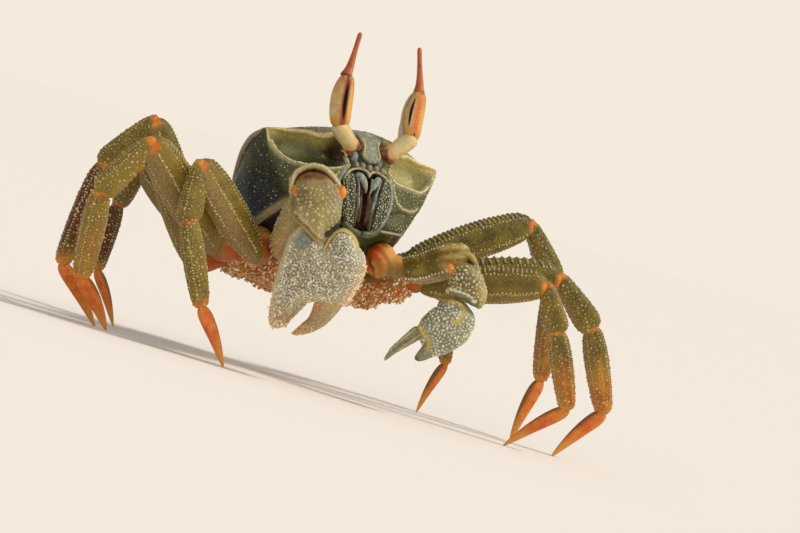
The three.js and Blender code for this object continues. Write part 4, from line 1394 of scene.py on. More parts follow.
def frame_of(start, end, wide):
    """A claw segment's frame: X towards its wide side, Y to the front of the crab, Z along it."""
    along = (end - start).normalized()
    deep = (wide - along * wide.dot(along)).normalized()
    front = along.cross(deep)
    front = front if front.dot(FRONT) > 0 else -front
    return Matrix.Translation(start) @ Matrix((deep, front, along)).transposed().to_4x4()


def pillow(name, outline, centre, thick, ahead=0.0, power=1.0):
    """A ball pulled out to an outline in X and Z. Its two faces bulge along Y."""
    bpy.ops.object.select_all(action="DESELECT")
    bpy.ops.mesh.primitive_uv_sphere_add(segments=72, ring_count=36, radius=1)
    piece = bpy.context.object
    piece.name = name
    unit = points_of(piece)
    edge = np.array(outline, float) - centre
    turn = np.arctan2(edge[:, 1], edge[:, 0])
    order = np.argsort(turn)
    turn = np.concatenate([turn[order] - 2 * np.pi, turn[order], turn[order] + 2 * np.pi])
    reach = np.tile(np.hypot(edge[:, 0], edge[:, 1])[order], 3)
    angle = np.arctan2(unit[:, 1], unit[:, 0])
    out = np.interp(angle, turn, reach) * np.hypot(unit[:, 0], unit[:, 1])
    bulge = thick * np.sign(unit[:, 2]) * np.abs(unit[:, 2]) ** power + ahead
    co = np.stack([centre[0] + out * np.cos(angle), bulge, centre[1] + out * np.sin(angle)], 1)
    set_points(piece, co)
    return outward(piece)


def set_marks(piece, **marks):
    """Set the claw's colour marks; those not named are 0."""
    for label in (*CLAW_MARKS, "bead"):
        mark(piece, label, marks.get(label, 0.0))
    return piece


def beads_of(name, spots, **marks):
    """Beads with the claw's marks."""
    piece = bead_mesh(name, spots)
    for label in CLAW_MARKS:
        mark(piece, label, marks.get(label, 0.0))
    return piece


def finish_claw(node, pieces, matrix):
    """Join a claw segment's parts, set them in place and let them stand for their solid."""
    piece = join(pieces, node + "_shell")
    place(piece, matrix)
    return finish_piece(piece, CLAW, "claw", node)


def on_front(tree, x, z, radius, tone, stretch=1.0, axis=(0, 0, 1), height=0.7):
    """One bead laid on the front of a piece, or none where it has no front."""
    spot, normal, _, _ = tree.ray_cast(Vector((x, 30, z)), Vector((0, -1, 0)))
    return [] if spot is None else [(spot, normal, axis, radius, stretch, height, tone)]


def bead_line(tree, path, spacing, radius, tone, **settings):
    """A row of beads along a path drawn in X and Z."""
    out = []
    for x, z in along_line(np.array(path, float), spacing):
        size = radius * rng.uniform(0.75, 1.2)
        out += on_front(tree, x + rng.uniform(-0.06, 0.06), z, size, tone * rng.uniform(0.75, 1.1),
                        **settings)
    return out


def crust(name, piece, spacing, low, high, keep, seed, material_slot, *nodes, tries=9000, stacked=0.35,
          tone=(0.0, 1.0)):
    """Sand grains stuck to a piece that stands in place, some of them on top of others."""
    spots = scatter(piece, spacing * MM, low * MM, high * MM, keep=keep, tries=tries, seed=seed,
                    height=0.9, free=0.5,
                    tone=tone)
    draw = np.random.default_rng(seed)
    more = []
    for place_at, normal, axis, size, stretch, height, _ in spots:
        if draw.random() < stacked:
            lift = normal * draw.uniform(0.8, 1.6) * size + draw.normal(0, 0.12, 3) * MM
            more.append((place_at + lift, normal, axis, size * 0.85, stretch, height, draw.uniform(*tone)))
    grains = bead_mesh(name, spots + more, GRAIN_POINTS, GRAIN_FACES)
    grains.data.materials.append(SAND)
    only(grains)
    bpy.ops.object.shade_flat()
    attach(grains, "root")
    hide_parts(*nodes)
    print(name, "grains:", len(spots) + len(more))
    return grains


# %% Larger claw: hood, wrist, palm and fingers
HOOD = [(-5.0, 3.1), (-4.8, 0.4), (-4.0, -1.5), (-2.0, -2.6), (0.2, -3.0), (2.3, -2.2), (3.9, -0.4),
        (5.0, 1.3), (5.4, 3.3)]
WRIST_OUTLINE = [(-4.5, 1.6), (-3.6, -0.6), (-0.8, -1.9), (1.9, -1.3), (4.2, 0.8), (5.6, 3.1),
                 (5.4, 6.4), (4.9, 8.6), (3.9, 9.5),
                 (1.5, 11.3), (0.7, 13.6), (-1.9, 10.7), (-4.5, 7.7), (-4.8, 5.2)]
WRIST_SEAM = [(-4.7, 7.6), (-2.9, 9.6), (-1.1, 11.7), (0.3, 13.3), (0.9, 13.7)]
PALM_OUTLINE = [(-5.3, -1.8), (-6.4, 1.0), (-6.6, 2.1), (-6.0, 6.0), (-5.6, 8.7), (-5.0, 11.5),
                (-4.5, 13.6), (-2.0, 14.6),
                (2.0, 13.5), (4.2, 11.8), (7.0, 11.3), (9.6, 10.2), (10.8, 9.0), (11.0, 6.8),
                (11.0, 2.8), (10.0, -0.4),
                (7.7, -2.5), (5.0, -4.7), (2.8, -4.9), (1.75, -3.8), (1.3, -2.3), (0.6, -0.8),
                (-1.5, -1.5)]
LOBE_OUTLINE = [(1.3, -2.3), (1.75, -3.8), (2.8, -4.9), (5.0, -4.7), (7.7, -2.5), (10.2, -0.4),
                (11.1, 2.8), (10.6, 6.0),
                (7.5, 7.0), (4.0, 4.5), (1.6, 1.2)]
LOBE_RIM = [(1.2, 0.9), (1.2, -1.6), (1.8, -3.8), (2.9, -4.8), (5.0, -4.6), (7.4, -2.7)]
FIXED_ROWS = [(-0.1, 4.4, 3.0, -0.4), (0.0, 4.6, 3.1, -0.4), (0.2, 4.3, 2.9, -0.5),
              (0.4, 3.65, 2.5, -0.6), (0.6, 2.95, 2.1, -0.6),
              (0.8, 2.3, 1.7, -0.4), (0.92, 1.6, 1.25, -0.5), (1.0, 0.7, 0.6, -0.8)]
MOVING_ROWS = [(-0.03, 1.5, 1.3, 7.3), (0.0, 2.4, 2.0, 7.4), (0.1, 2.95, 2.4, 7.4),
               (0.25, 2.7, 2.4, 7.2), (0.43, 2.25, 2.1, 7.1),
               (0.56, 1.95, 1.85, 6.95), (0.73, 1.65, 1.5, 5.95), (0.88, 1.2, 1.05, 4.95),
               (0.96, 0.75, 0.7, 4.15),
               (1.0, 0.35, 0.35, 3.6)]
CLAW_MERUS_ROWS = [(-0.06, 0.3, 0.3), (0.0, 0.62, 0.6), (0.12, 0.84, 0.84), (0.4, 1.0, 1.0),
                   (0.75, 1.06, 1.06), (0.95, 1.0, 1.0),
                   (1.04, 0.7, 0.7), (1.06, 0.3, 0.3)]


def claw_joints(side_name):
    """Joints of one claw, from the body to the wrist, and the wrist and tip of its palm."""
    nodes = [f"claw_{side_name}_{part}" for part in ("base", "merus", "carpus", "palm")]
    return chain_joints(nodes, BODY_CENTRE)


base_at, elbow, knee, wrist, tip = claw_joints("right")
# the knee and the wrist are moved a little from the solids' joints, to suit the drawn outlines
knee = knee + Vector((0.2, 0.1, -1.3))
wrist_frame = frame_of(knee, wrist + Vector((-0.8, 0.4, 0)), Vector(RIGHTWARD))
elbow_here = wrist_frame.inverted() @ elbow
hood_path = [(x, 0.9, z) for x, z in HOOD]
arm = [
    limb("arm", sized(CLAW_MERUS_ROWS, 4.1, 4.2), [tuple(elbow_here), (0.2, -1.6, 1.4)], (1, 0, 0)),
    limb("hood", [(0.0, 1.2, 0.4), (0.05, 1.9, 0.7), (0.5, 2.5, 0.8), (0.95, 1.9, 0.7),
                  (1.0, 1.2, 0.4)], hood_path, sides=12),
    ball("hood_back", (0.2, -1.4, 1.7), (4.7, 3.4, 4.2)),
]
arm = blend(arm, "claw_right_merus_shell", voxel=0.25, passes=4)
co = points_of(arm)
hood_gap = line_gap(HOOD, co[:, 0], co[:, 2])
on_hood = near(hood_gap, 0.9) * step(co[:, 1], 0.6, 1.6)
inside = step(co[:, 2], 9.0, 5.0) * step(co[:, 1], -1.5, 0.0) * (1 - on_hood) * step(hood_gap, 0.5, 1.2)
set_marks(arm, olive=0.55, joint=0.3 * step(co[:, 2], 6, 16), cream=0.3 * on_hood,
          dark=np.clip(inside, 0, 1),
          yellow=np.clip(0.7 * on_hood + 0.35 * step(co[:, 2], -1, 4) * step(co[:, 1], 3, 0), 0, 1))
tree = surface_of(arm)
lower_row = [(x * 1.06 - 0.1, z - 0.7) for x, z in HOOD]
spots = bead_line(tree, HOOD, 0.6, 0.26, 0.5) + bead_line(tree, lower_row, 0.7, 0.22, 0.4)
spots += scatter(arm, 0.85, 0.16, 0.3, keep=lambda q, n: (q[:, 2] > 4) & (n[:, 1] > -0.3), tries=3000,
                 seed=51, tone=(0.1, 0.6))
finish_claw("claw_right_merus", [arm, beads_of("arm_beads", spots, olive=0.5, tan=0.5)], wrist_frame)

wrist_piece = blend([
    pillow("wrist", WRIST_OUTLINE, (0.3, 5.0), 4.4, ahead=0.8, power=0.85),
    ball("wrist_knob_right", (5.5, 2.0, 3.0), (1.1, 1.2, 1.5)),
    ball("wrist_knob_left", (-4.3, 2.2, 2.2), (0.8, 1.0, 1.2)),
], "claw_right_carpus_shell", voxel=0.22, passes=4)
co = points_of(wrist_piece)
co[:, 1] += 2.4 * np.clip(co[:, 2] / 13.5, 0, 1) ** 2
set_points(wrist_piece, co)
knobs = near(np.linalg.norm(co - (6.0, 2.5, 3.0), axis=1),
             1.5) + near(np.linalg.norm(co - (-4.8, 2.8, 2.2), axis=1), 1.0)
set_marks(wrist_piece, olive=0.7, yellow=0.3 * step(co[:, 2], 4, 9), joint=np.clip(1.5 * knobs, 0, 1),
          dark=0.8 * step(co[:, 2], 0.9, -0.4), blue=0.45 * step(co[:, 0] + 0.4 * co[:, 2], 4, 7.5),
          cream=0.6 * near(line_gap(WRIST_SEAM, co[:, 0], co[:, 2]), 0.9))
tree = surface_of(wrist_piece)
spots = bead_line(tree, [(x + 0.5, z - 0.6) for x, z in WRIST_SEAM], 0.75, 0.3, 0.45, stretch=1.2)
for x, z, size in ((-3.1, 6.2, 0.5), (-1.9, 7.6, 0.5), (-0.7, 9.0, 0.5), (-3.3, 7.6, 0.4),
                   (-1.9, 9.1, 0.4), (0.2, 10.6, 0.45),
                   (-1.2, 5.8, 0.4), (-3.6, 4.4, 0.4), (-0.3, 11.6, 0.35), (-0.2, 7.2, 0.35)):
    spots += on_front(tree, x, z, size, rng.uniform(0.15, 0.35), height=0.7)
spots += scatter(wrist_piece, 0.9, 0.2, 0.38, keep=lambda q, n: (q[:, 2] > 1.4) & (n[:, 1] > -0.4)
                 & (np.abs(q[:, 0] - 0.5) < 4.6),
                 tries=6000, seed=52, tone=(0.0, 0.26), free=0.6, height=0.7)
seam_path = [(x - 0.2, 2.1 + 0.17 * z, z + 0.1) for x, z in WRIST_SEAM]
seam = set_marks(limb("seam", sized(BAR_ROWS, 0.6, 0.45), seam_path, (0, 1, 0)), dark=0.45, yellow=0.7)
finish_claw("claw_right_carpus", [wrist_piece, seam,
                                  beads_of("wrist_beads", spots, olive=0.7, yellow=0.45)], wrist_frame)

palm_frame = frame_of(wrist, tip, Vector(RIGHTWARD))
palm = blend([
    pillow("palm", PALM_OUTLINE, (2.5, 5.0), 4.6, power=0.8),
    pillow("lobe", LOBE_OUTLINE, (6.2, 0.6), 4.2, ahead=0.9, power=0.85),
    limb("fixed_finger", FIXED_ROWS, [(0, 0, 10.0), (0, 0, 20.8)], (1, 0, 0)),
], "claw_right_palm_shell", voxel=0.25, passes=4)
co = points_of(palm)
x, z = co[:, 0], co[:, 2]
left_edge = np.interp(z, [-2, 2.1, 6, 8.7, 11.5, 14, 17, 20.5],
                      [-5.3, -6.6, -6.0, -5.6, -5.0, -4.4, -3.4, -1.9])
rim_band = near(line_gap(LOBE_RIM, x, z), 0.7)
palm_rim = near(line_gap([(1.5, 12.0), (4.2, 11.0), (7.0, 10.4), (9.6, 9.6), (10.9, 8.0)], x, z), 0.9)
smooth_corner = step(np.hypot((x + 3.6) / 1.6, (z + 0.3) / 2.6), 1.5, 1.0)
set_marks(palm, blue=np.clip(0.9 * smooth_corner + 0.7 * step(z, 3.5, 0) * step(x, 2, 4), 0, 1),
          cream=np.clip(0.7 * near(x - left_edge - 0.5, 0.7) + 0.3 * near(np.hypot(x - 1.2, z - 1.8),
              1.5) + 0.25 * step(x, 5, 10), 0, 1),
          yellow=np.clip(0.8 * rim_band + 0.6 * palm_rim, 0, 1), tan=0.85 * step(z, 12.6, 15.5), olive=0.2)


def palm_places(places, normals):
    """Where the larger palm is beaded."""
    x, z = places[:, 0], places[:, 2]
    bare = (np.hypot((x + 3.6) / 1.6, (z + 0.3) / 2.6) < 1.4) | (line_gap(LOBE_RIM, x, z) < 0.45)
    fade = np.random.default_rng(3).random(len(x)) < np.clip((16.5 - z) / 3.5, 0.05, 1)
    return ~bare & fade & (x > np.interp(z, [2, 14], [-6.3, -4.3]) + 0.6)


spots = scatter(palm, 0.56, 0.14, 0.34, keep=palm_places, tries=30000, seed=53, height=0.65, free=0.9,
                tone=(0.3, 1.0))
rim_path = [(x, 2.2 + 0.5 * max(0, z + 2), z + 0.2) for x, z in LOBE_RIM]
rim = set_marks(limb("lobe_rim", sized(BAR_ROWS, 1.1, 0.36), rim_path, (0, 1, 0)), yellow=0.8)
finish_claw("claw_right_palm", [palm, rim, beads_of("palm_beads", spots, cream=0.0)], palm_frame)

finger = limb("claw_right_finger_shell", MOVING_ROWS, [(0, 0.4, 9.4), (0, 0.4, 20.1)], (1, 0, 0),
              sides=14, levels=3)
co = points_of(finger)
root = step(co[:, 2], 12.4, 10.8)
set_marks(finger, tan=0.85, blue=0.4 * step(co[:, 0] - np.interp(co[:, 2], [10, 20], [7.4, 3.8]), 0.3,
                                            1.2),
          yellow=0.4 * root, joint=0.8 * near(np.hypot(co[:, 0] - 5.1, co[:, 2] - 12.2), 1.0))
spots = scatter(finger, 0.8, 0.12, 0.26, keep=lambda q, n: q[:, 2] < 17, tries=1500, seed=54,
                height=0.5, tone=(0.1, 0.5))
finish_claw("claw_right_finger", [finger, beads_of("finger_beads", spots, tan=0.6)], palm_frame)
into_palm = np.array((Matrix.Scale(MM, 4) @ palm_frame).inverted())


def in_palm_frame(places):
    """Places in metres, brought back into the palm's frame."""
    return places @ into_palm[:3, :3].T + into_palm[:3, 3]


def palm_crust(places, normals):
    """Sand on the palm's outer edge and at its fingertip."""
    x, _, z = in_palm_frame(places).T
    draw = np.random.default_rng(4).random(len(x))
    edge = (x > 9.6) & (z > -0.5) & (z < 10.5) & (draw < 0.85)
    tip = (z > 18.3) & (draw < 0.7)
    left_rim = (x < np.interp(z, [2, 14, 20], [-5.9, -3.8, -1.8])) & (z > 12) & (draw < 0.5)
    return edge | tip | left_rim


crust("palm_sand", palm, 0.46, 0.14, 0.32, palm_crust, 61, "cream", "claw_right_palm", tries=26000,
      stacked=0.12, tone=(0.45, 1.0))
crust("finger_sand", finger, 0.46, 0.12, 0.26, lambda q, n: in_palm_frame(q)[:, 2] > 16.8, 62, "cream",
      "claw_right_finger",
      tries=5000, stacked=0.08, tone=(0.3, 0.9))
print("larger claw done")

# %% Smaller claw
SMALL_WRIST = [(1.6, -0.6), (0.2, -0.9), (-1.8, -0.3), (-3.6, 2.0), (-4.4, 4.5), (-4.5, 7.6),
               (-2.9, 9.7), (-2.1, 9.2), (0.1, 7.4),
               (2.5, 6.5), (3.3, 5.2), (3.1, 4.2), (2.9, 2.6)]
SMALL_FOLD = [(2.6, -1.9), (1.3, -2.6), (-0.8, -2.7), (-2.0, -2.3), (-2.8, -0.2), (-3.0, 1.1)]
SMALL_GROOVE = [(2.8, 5.0), (1.4, 5.6), (0.0, 6.3), (-1.3, 7.1), (-2.0, 8.4)]
SMALL_MERUS_ROWS = [(-0.08, 0.8, 0.8, -0.2), (-0.02, 1.7, 1.6, -0.2), (0.08, 2.4, 2.2, 0.3),
                    (0.2, 3.0, 2.6, 0.8), (0.45, 3.4, 2.8, 0.6),
                    (0.7, 3.8, 3.0, -0.3), (0.88, 3.7, 3.0, -0.9), (1.0, 3.1, 2.6, -1.4),
                    (1.07, 2.0, 1.8, -1.7), (1.1, 0.7, 0.7, -1.8)]
SMALL_PALM = [(0.4, -0.4), (1.8, 0.0), (3.0, 0.6), (3.6, 1.4), (4.3, 4.1), (5.0, 6.7), (4.9, 9.0),
              (4.6, 10.3), (3.4, 11.4),
              (1.0, 12.4), (-0.6, 13.0), (-2.4, 12.3), (-3.9, 9.6), (-4.9, 7.0), (-4.8, 3.6),
              (-3.6, 1.0), (-2.4, 0.1), (-1.0, -0.2)]
SMALL_RIM = [(3.5, 1.5), (2.9, 0.7), (1.2, 0.0), (0.2, 0.2), (-0.7, 1.0), (-1.0, 2.7), (-0.6, 3.6)]
SMALL_BAND = [(4.6, 9.7), (3.6, 10.3), (2.2, 10.6), (0.8, 10.9), (0.0, 12.4)]
SMALL_FIXED = [(-0.1, 3.6, 2.4, -0.2), (0.0, 3.8, 2.5, -0.2), (0.25, 3.0, 2.0, -0.55),
               (0.5, 1.8, 1.5, -0.7), (0.8, 1.35, 1.1, -0.2),
               (0.95, 0.8, 0.7, 0.05), (1.0, 0.35, 0.35, 0.2)]
SMALL_MOVING = [(-0.03, 0.7, 0.7, 3.6), (0.0, 1.15, 1.0, 3.6), (0.08, 1.5, 1.3, 3.6),
                (0.2, 1.4, 1.3, 3.8), (0.32, 1.22, 1.2, 4.0),
                (0.56, 1.05, 0.95, 4.7), (0.78, 0.7, 0.65, 5.1), (0.93, 0.48, 0.45, 5.1),
                (1.0, 0.25, 0.25, 5.1)]

base_at, elbow, knee, wrist, tip = claw_joints("left")
arm_frame = frame_of(elbow, knee, Vector((0.246, -0.219, -0.943)))
wrist_frame = frame_of(knee + Vector((0, 0.2, -0.6)), wrist, Vector((-0.792, 0.476, -0.381)))
arm_length = (knee - elbow).length
arm = blend([
    limb("small_arm", SMALL_MERUS_ROWS, [(0, 0, 0), (0, 0, arm_length)], (1, 0, 0)),
    limb("small_crest", sized(BAR_ROWS, 0.8, 0.6),
         [(-2.0, 1.4, 1.0), (-2.4, 1.8, 6.0), (-3.6, 2.0, 10.5), (-4.0, 1.6, 14.0)], (0, 1, 0)),
    limb("small_keel", sized(BAR_ROWS, 0.7, 0.6), [(2.2, 2.0, 2.0), (2.6, 2.3, 6.0), (2.2, 2.4, 10.5)],
         (0, 1, 0)),
], "claw_left_merus_shell", voxel=0.22, passes=4)
co = points_of(arm)
gold_end = step(co[:, 2], 9.5, 14.0)
set_marks(arm, olive=1.0, yellow=np.clip(0.85 * gold_end * (0.55 + 0.45 * np.sin(co[:, 0] * 3.2)), 0, 1),
          tan=0.7 * step(co[:, 0], 2.4, 3.0),
          joint=0.9 * near(np.hypot(co[:, 0] - 1.2, co[:, 2] - 13.4), 1.5))
tree = surface_of(arm)
spots = bead_line(tree, [(-2.1, 0.8), (-2.4, 5.0), (-3.3, 9.0), (-3.9, 12.0)], 0.7, 0.2, 0.9)
spots += bead_line(tree, [(2.3, 1.6), (2.7, 5.0), (2.4, 8.0), (1.6, 11.5)], 0.75, 0.26, 0.9,
                   stretch=1.3, axis=(1, 0, 0))
spots += scatter(arm, 1.3, 0.1, 0.2, keep=lambda q, n: n[:, 1] > 0, tries=500, seed=63, tone=(0.3, 0.9))
finish_claw("claw_left_merus", [arm, beads_of("small_arm_beads", spots, olive=0.9)], arm_frame)

wrist_piece = blend([
    pillow("small_wrist", SMALL_WRIST, (-0.8, 4.0), 3.5, ahead=0.5, power=0.85),
    limb("small_fold", [(0.0, 1.0, 0.4), (0.1, 1.9, 0.75), (0.5, 2.3, 0.85), (0.9, 1.9, 0.75),
                        (1.0, 1.0, 0.4)],
         [(x, 0.4, z + 0.4) for x, z in SMALL_FOLD]),
    ball("small_knob", (2.7, 1.8, 0.6), (0.9, 1.1, 1.2)),
    ball("small_spine", (3.2, 0.8, 5.2), (0.9, 0.8, 0.7)),
], "claw_left_carpus_shell", voxel=0.2, passes=4)
co = points_of(wrist_piece)
fold_line = near(line_gap([(1.4, -0.7), (0.2, -1.0), (-1.4, -0.6), (-2.2, 0.0)], co[:, 0], co[:, 2]), 0.3)
groove = near(line_gap([(x, z + 0.9) for x, z in SMALL_GROOVE], co[:, 0], co[:, 2]), 0.9)
knob = near(np.linalg.norm(co - (2.9, 2.4, 0.6), axis=1), 1.4)
set_marks(wrist_piece, olive=0.8, yellow=np.clip(0.5 * step(co[:, 2], 1.0, -1.5)
                                                 + 0.4 * step(co[:, 0], -2.5, -4.3), 0, 1),
          teal=0.85 * groove, dark=fold_line, joint=np.clip(1.4 * knob, 0, 1),
          cream=0.8 * step(co[:, 0], 3.0, 3.5))
tree = surface_of(wrist_piece)
spots = bead_line(tree, SMALL_GROOVE, 0.95, 0.42, 0.95, stretch=1.4, axis=(0.8, 0, -0.5))
spots += scatter(wrist_piece, 0.78, 0.18, 0.34, keep=lambda q, n: (q[:, 2] > 0.4)
                 & (line_gap(SMALL_GROOVE, q[:, 0], q[:, 2] - 0.9) > 0.7),
                 tries=3500, seed=64, stretch=1.2, free=0.5, tone=(0.2, 0.75), height=0.6)
finish_claw("claw_left_carpus", [wrist_piece,
                                 beads_of("small_wrist_beads", spots, olive=0.7, yellow=0.3)], wrist_frame)

palm_frame = frame_of(wrist, tip, Vector((-0.776, 0.467, 0.423)))
palm = blend([
    pillow("small_palm", SMALL_PALM, (0.2, 6.0), 3.4, power=0.8),
    limb("small_fixed", SMALL_FIXED, [(0, 0, 8.5), (0, 0, 15.8)], (1, 0, 0)),
    limb("small_rim", sized(BAR_ROWS, 1.2, 0.5), [(x, 1.4, z + 0.4) for x, z in SMALL_RIM]),
    limb("small_band", sized(BAR_ROWS, 1.6, 0.6), [(x, 1.2, z) for x, z in SMALL_BAND]),
], "claw_left_palm_shell", voxel=0.2, passes=4)
co = points_of(palm)
x, z = co[:, 0], co[:, 2]
set_marks(palm, teal=0.8, yellow=np.clip(0.85 * near(line_gap(SMALL_RIM, x, z - 0.4), 0.7)
                                         + 0.8 * near(line_gap(SMALL_BAND, x, z), 0.8)
                                         + 0.4 * step(x, -3.4, -4.4) * step(z, 9, 5), 0, 1),
          blue=0.6 * step(z, 12, 13.5), dark=0.9 * step(z, 14.8, 15.4)
          + 0.5 * near(np.hypot(x - 1.0, z - 12.2), 0.8),
          olive=0.4 * near(np.hypot(x - 0.9, z - 3.2), 1.2))


def small_palm_places(places, normals):
    """Where the smaller palm is beaded."""
    x, z = places[:, 0], places[:, 2]
    return (z > 0.8) & (z < 12.5) & (line_gap(SMALL_BAND, x, z) > 0.7) & (line_gap(SMALL_RIM, x,
        z - 0.4) > 0.5)


spots = scatter(palm, 0.7, 0.18, 0.3, keep=small_palm_places, tries=9000, seed=65, stretch=1.3,
                free=0.5, height=0.6, tone=(0.35, 0.95))
finish_claw("claw_left_palm", [palm, beads_of("small_palm_beads", spots)], palm_frame)

finger = blend([
    limb("small_finger", SMALL_MOVING, [(0, 0.2, 9.8), (0, 0.2, 20.3)], (1, 0, 0), sides=14, levels=3),
    limb("small_finger_ridge", sized(BAR_ROWS, 0.35, 0.3),
         [(3.2, 1.5, 11.0), (4.0, 1.4, 14.0), (4.9, 0.9, 18.0)], (0, 1, 0)),
    limb("small_finger_crest", sized(BAR_ROWS, 0.5, 0.35),
         [(5.0, 0.6, 10.6), (5.3, 0.7, 14.0), (5.7, 0.5, 18.0)], (0, 1, 0)),
], "claw_left_finger_shell", voxel=0.15, passes=3)
co = points_of(finger)
across = co[:, 0] - np.interp(co[:, 2], [10, 13, 16, 20], [3.6, 4.0, 4.7, 5.1])
set_marks(finger, teal=0.8, yellow=0.75 * np.clip(near(across - 1.0, 0.35) + near(across + 0.6, 0.25),
                                                  0, 1), olive=0.3 * step(co[:, 2], 16, 19),
          cream=step(co[:, 2], 19.7, 20.1), dark=0.4 * near(co[:, 2] - 10.2, 0.4))
spots = scatter(finger, 0.9, 0.1, 0.2, keep=lambda q, n: q[:, 2] < 18, tries=500, seed=66, height=0.5,
                tone=(0.2, 0.6))
finish_claw("claw_left_finger", [finger, beads_of("small_finger_beads", spots, teal=0.6)], palm_frame)
print("smaller claw done")

# %% [markdown]
# ## Roots of the limbs
# Between the shell and the long leg segments sit short, rounded joints, packed close together and
# caked with wet sand. Each is a ball; all of them and the breastplate are wrapped in one skin. Some
# shine orange and red where their thin skin shows.

# %% Roots and breastplate
ROOTS = [
    ((-15.2, -10.0, 26.4), (4.0, 4.0, 4.2)), ((-14.6, -5.4, 23.7), (4.0, 4.2, 4.2)),
         ((-13.6, -0.4, 22.4), (3.8, 4.0, 4.0)),
    ((-11.8, 4.6, 22.2), (3.4, 3.6, 3.6)), ((-9.5, -8.5, 23.6), (4.0, 4.0, 4.4)),
         ((-8.0, -1.5, 22.6), (5.0, 6.5, 3.8)),
    ((14.2, -9.6, 24.6), (4.4, 4.4, 4.8)), ((15.0, -4.6, 24.0), (4.2, 4.2, 4.2)),
         ((14.4, 0.4, 23.0), (3.8, 4.0, 4.0)),
    ((12.6, 5.2, 23.0), (3.4, 3.6, 3.6)), ((19.0, -11.8, 26.6), (4.2, 3.6, 4.0)),
         ((8.6, -10.5, 23.6), (4.2, 4.2, 4.2)),
    ((8.0, -2.0, 22.8), (5.0, 6.5, 3.8)), ((0.0, -5.0, 24.4), (9.0, 9.0, 4.2)),
         ((0.0, 6.0, 21.0), (9.0, 8.0, 3.4)),
]
RED_SPOTS = [((-16.6, -12.6, 26.6), 1.6), ((15.0, -13.6, 25.2), 1.2), ((19.2, -14.6, 25.6), 1.0)]
roots = blend([ball("root", centre, half) for centre, half in ROOTS], "roots", voxel=0.36, passes=3)
co = points_of(roots)
red = np.zeros(len(co))
for centre, width in RED_SPOTS:
    red = np.maximum(red, near(np.linalg.norm(co - centre, axis=1), width))
set_marks(roots, olive=0.75 * step(co[:, 2], 22.0, 26.0), low=0.8 * step(co[:, 2], 25, 21),
          red=np.clip(1.3 * red, 0, 1), gold=0.6)
place(roots, Matrix.Translation(-BOX_MIDDLE))
finish_piece(roots, ORANGE, "orange", "carapace")


def root_crust(places, normals):
    """Sand clings to what faces down, and here and there to the sides."""
    draw = np.random.default_rng(6).random(len(places))
    high = places[:, 2] / MM
    return (normals[:, 2] < 0.25) & (draw < np.clip((29.5 - high) / 8, 0.1, 0.9))


crust("root_sand", roots, 0.6, 0.16, 0.46, root_crust, 67, "cream", "carapace", tries=42000, stacked=0.5)

# %% First joints of both claws
for side_name, centre, half in (("right", (-10.6, -15.6, 28.4), (3.4, 3.4, 3.6)),
                                ("left", (11.4, -16.4, 30.8), (3.5, 2.9, 3.9))):
    base_at, elbow = claw_joints(side_name)[:2]
    middle = Vector(centre) - BOX_MIDDLE
    piece = blend([
        ball("claw_root", middle, half),
        limb("claw_neck", sized(BASE_ROWS, 3.3, 3.3), [tuple(base_at), tuple(elbow)], (0, 0, 1)),
    ], f"claw_{side_name}_base_shell", voxel=0.25, passes=4)
    co = points_of(piece) - np.array(middle)
    rightwards = co @ np.array(RIGHTWARD)
    # curved folds run over it, like the growth lines of a shell
    fold = 0.5 + 0.5 * np.sin(3.3 * np.hypot(rightwards + 4.0, co[:, 2] + 4.5))
    co *= (1 + 0.1 * (fold - 0.5) * step(co @ np.array(FRONT), 0, 1.5))[:, None]
    set_points(piece, co + np.array(middle))
    height = co[:, 2]
    patch = near(np.hypot(rightwards + 1.2, 0.8 * (height - 1.1)), 1.5)
    rim = near(np.hypot(rightwards - 0.4, height) - 3.2, 0.4) * step(rightwards, -1.2, -2.0)
    groove = near(np.hypot(rightwards - 0.2, height) - 2.4, 0.4) * step(rightwards, -0.2,
        -1.2) * step(height, 0.6, -0.6)
    # painted light: the sunny upper side is paler, less gold; painted shade: browner fold hollows
    sunny = step(rightwards, -0.2, 1.6) * step(height, 0.2, 1.8)
    set_marks(piece, gold=0.85 - 0.7 * sunny, pale=0.5 + 0.5 * sunny, red=np.clip(patch + 0.8 * rim, 0, 1),
              dark=0.9 * groove, olive=np.clip(0.8 * step(rightwards, 0.8, 3.0) * step(height, 1.6,
                  -0.4), 0, 1),
              low=0.5 * (1 - fold) * (1 - sunny))
    place(piece, Matrix.Identity(4))
    finish_piece(piece, ORANGE, "orange", f"claw_{side_name}_base")
print("roots done")

# %% [markdown]
# ## Eyes
# Each eye stands on a short stalk and carries a horn. The eye is a long upright bead of amber with
# a dark slit, which the material draws from the angle round the eye, stored on its mesh.

# %% Eyes, stalks and horns
STALK_ROWS = [(-0.14, 0.4, 0.4), (-0.08, 0.76, 0.78), (0.04, 0.9, 0.94), (0.16, 0.92, 0.96),
              (0.27, 0.86, 0.88),
              (0.42, 0.88, 0.9), (0.6, 0.94, 0.94), (0.84, 1.02, 1.0), (1.04, 1.02, 1.0),
              (1.16, 0.8, 0.8), (1.2, 0.3, 0.3)]
BULB_ROWS = [(-0.02, 0.3, 0.3), (0.0, 0.6, 0.6), (0.05, 0.78, 0.8), (0.15, 0.93, 0.93), (0.33, 1.0, 1.0),
             (0.56, 1.0, 1.0), (0.76, 0.9, 0.9), (0.9, 0.72, 0.72), (0.98, 0.5, 0.5), (1.0, 0.25, 0.25)]
HORN_ROWS = [(-0.06, 1.5, 1.45, -0.25, -0.3), (0.0, 1.35, 1.3, -0.2, -0.28),
             (0.07, 1.1, 1.08, -0.12, -0.16),
             (0.16, 0.9, 0.9, -0.04, -0.05), (0.32, 0.72, 0.72), (0.52, 0.6, 0.6), (0.74, 0.52, 0.52),
             (0.86, 0.54, 0.54),
             (0.94, 0.54, 0.54), (0.985, 0.38, 0.38), (1.0, 0.15, 0.15)]
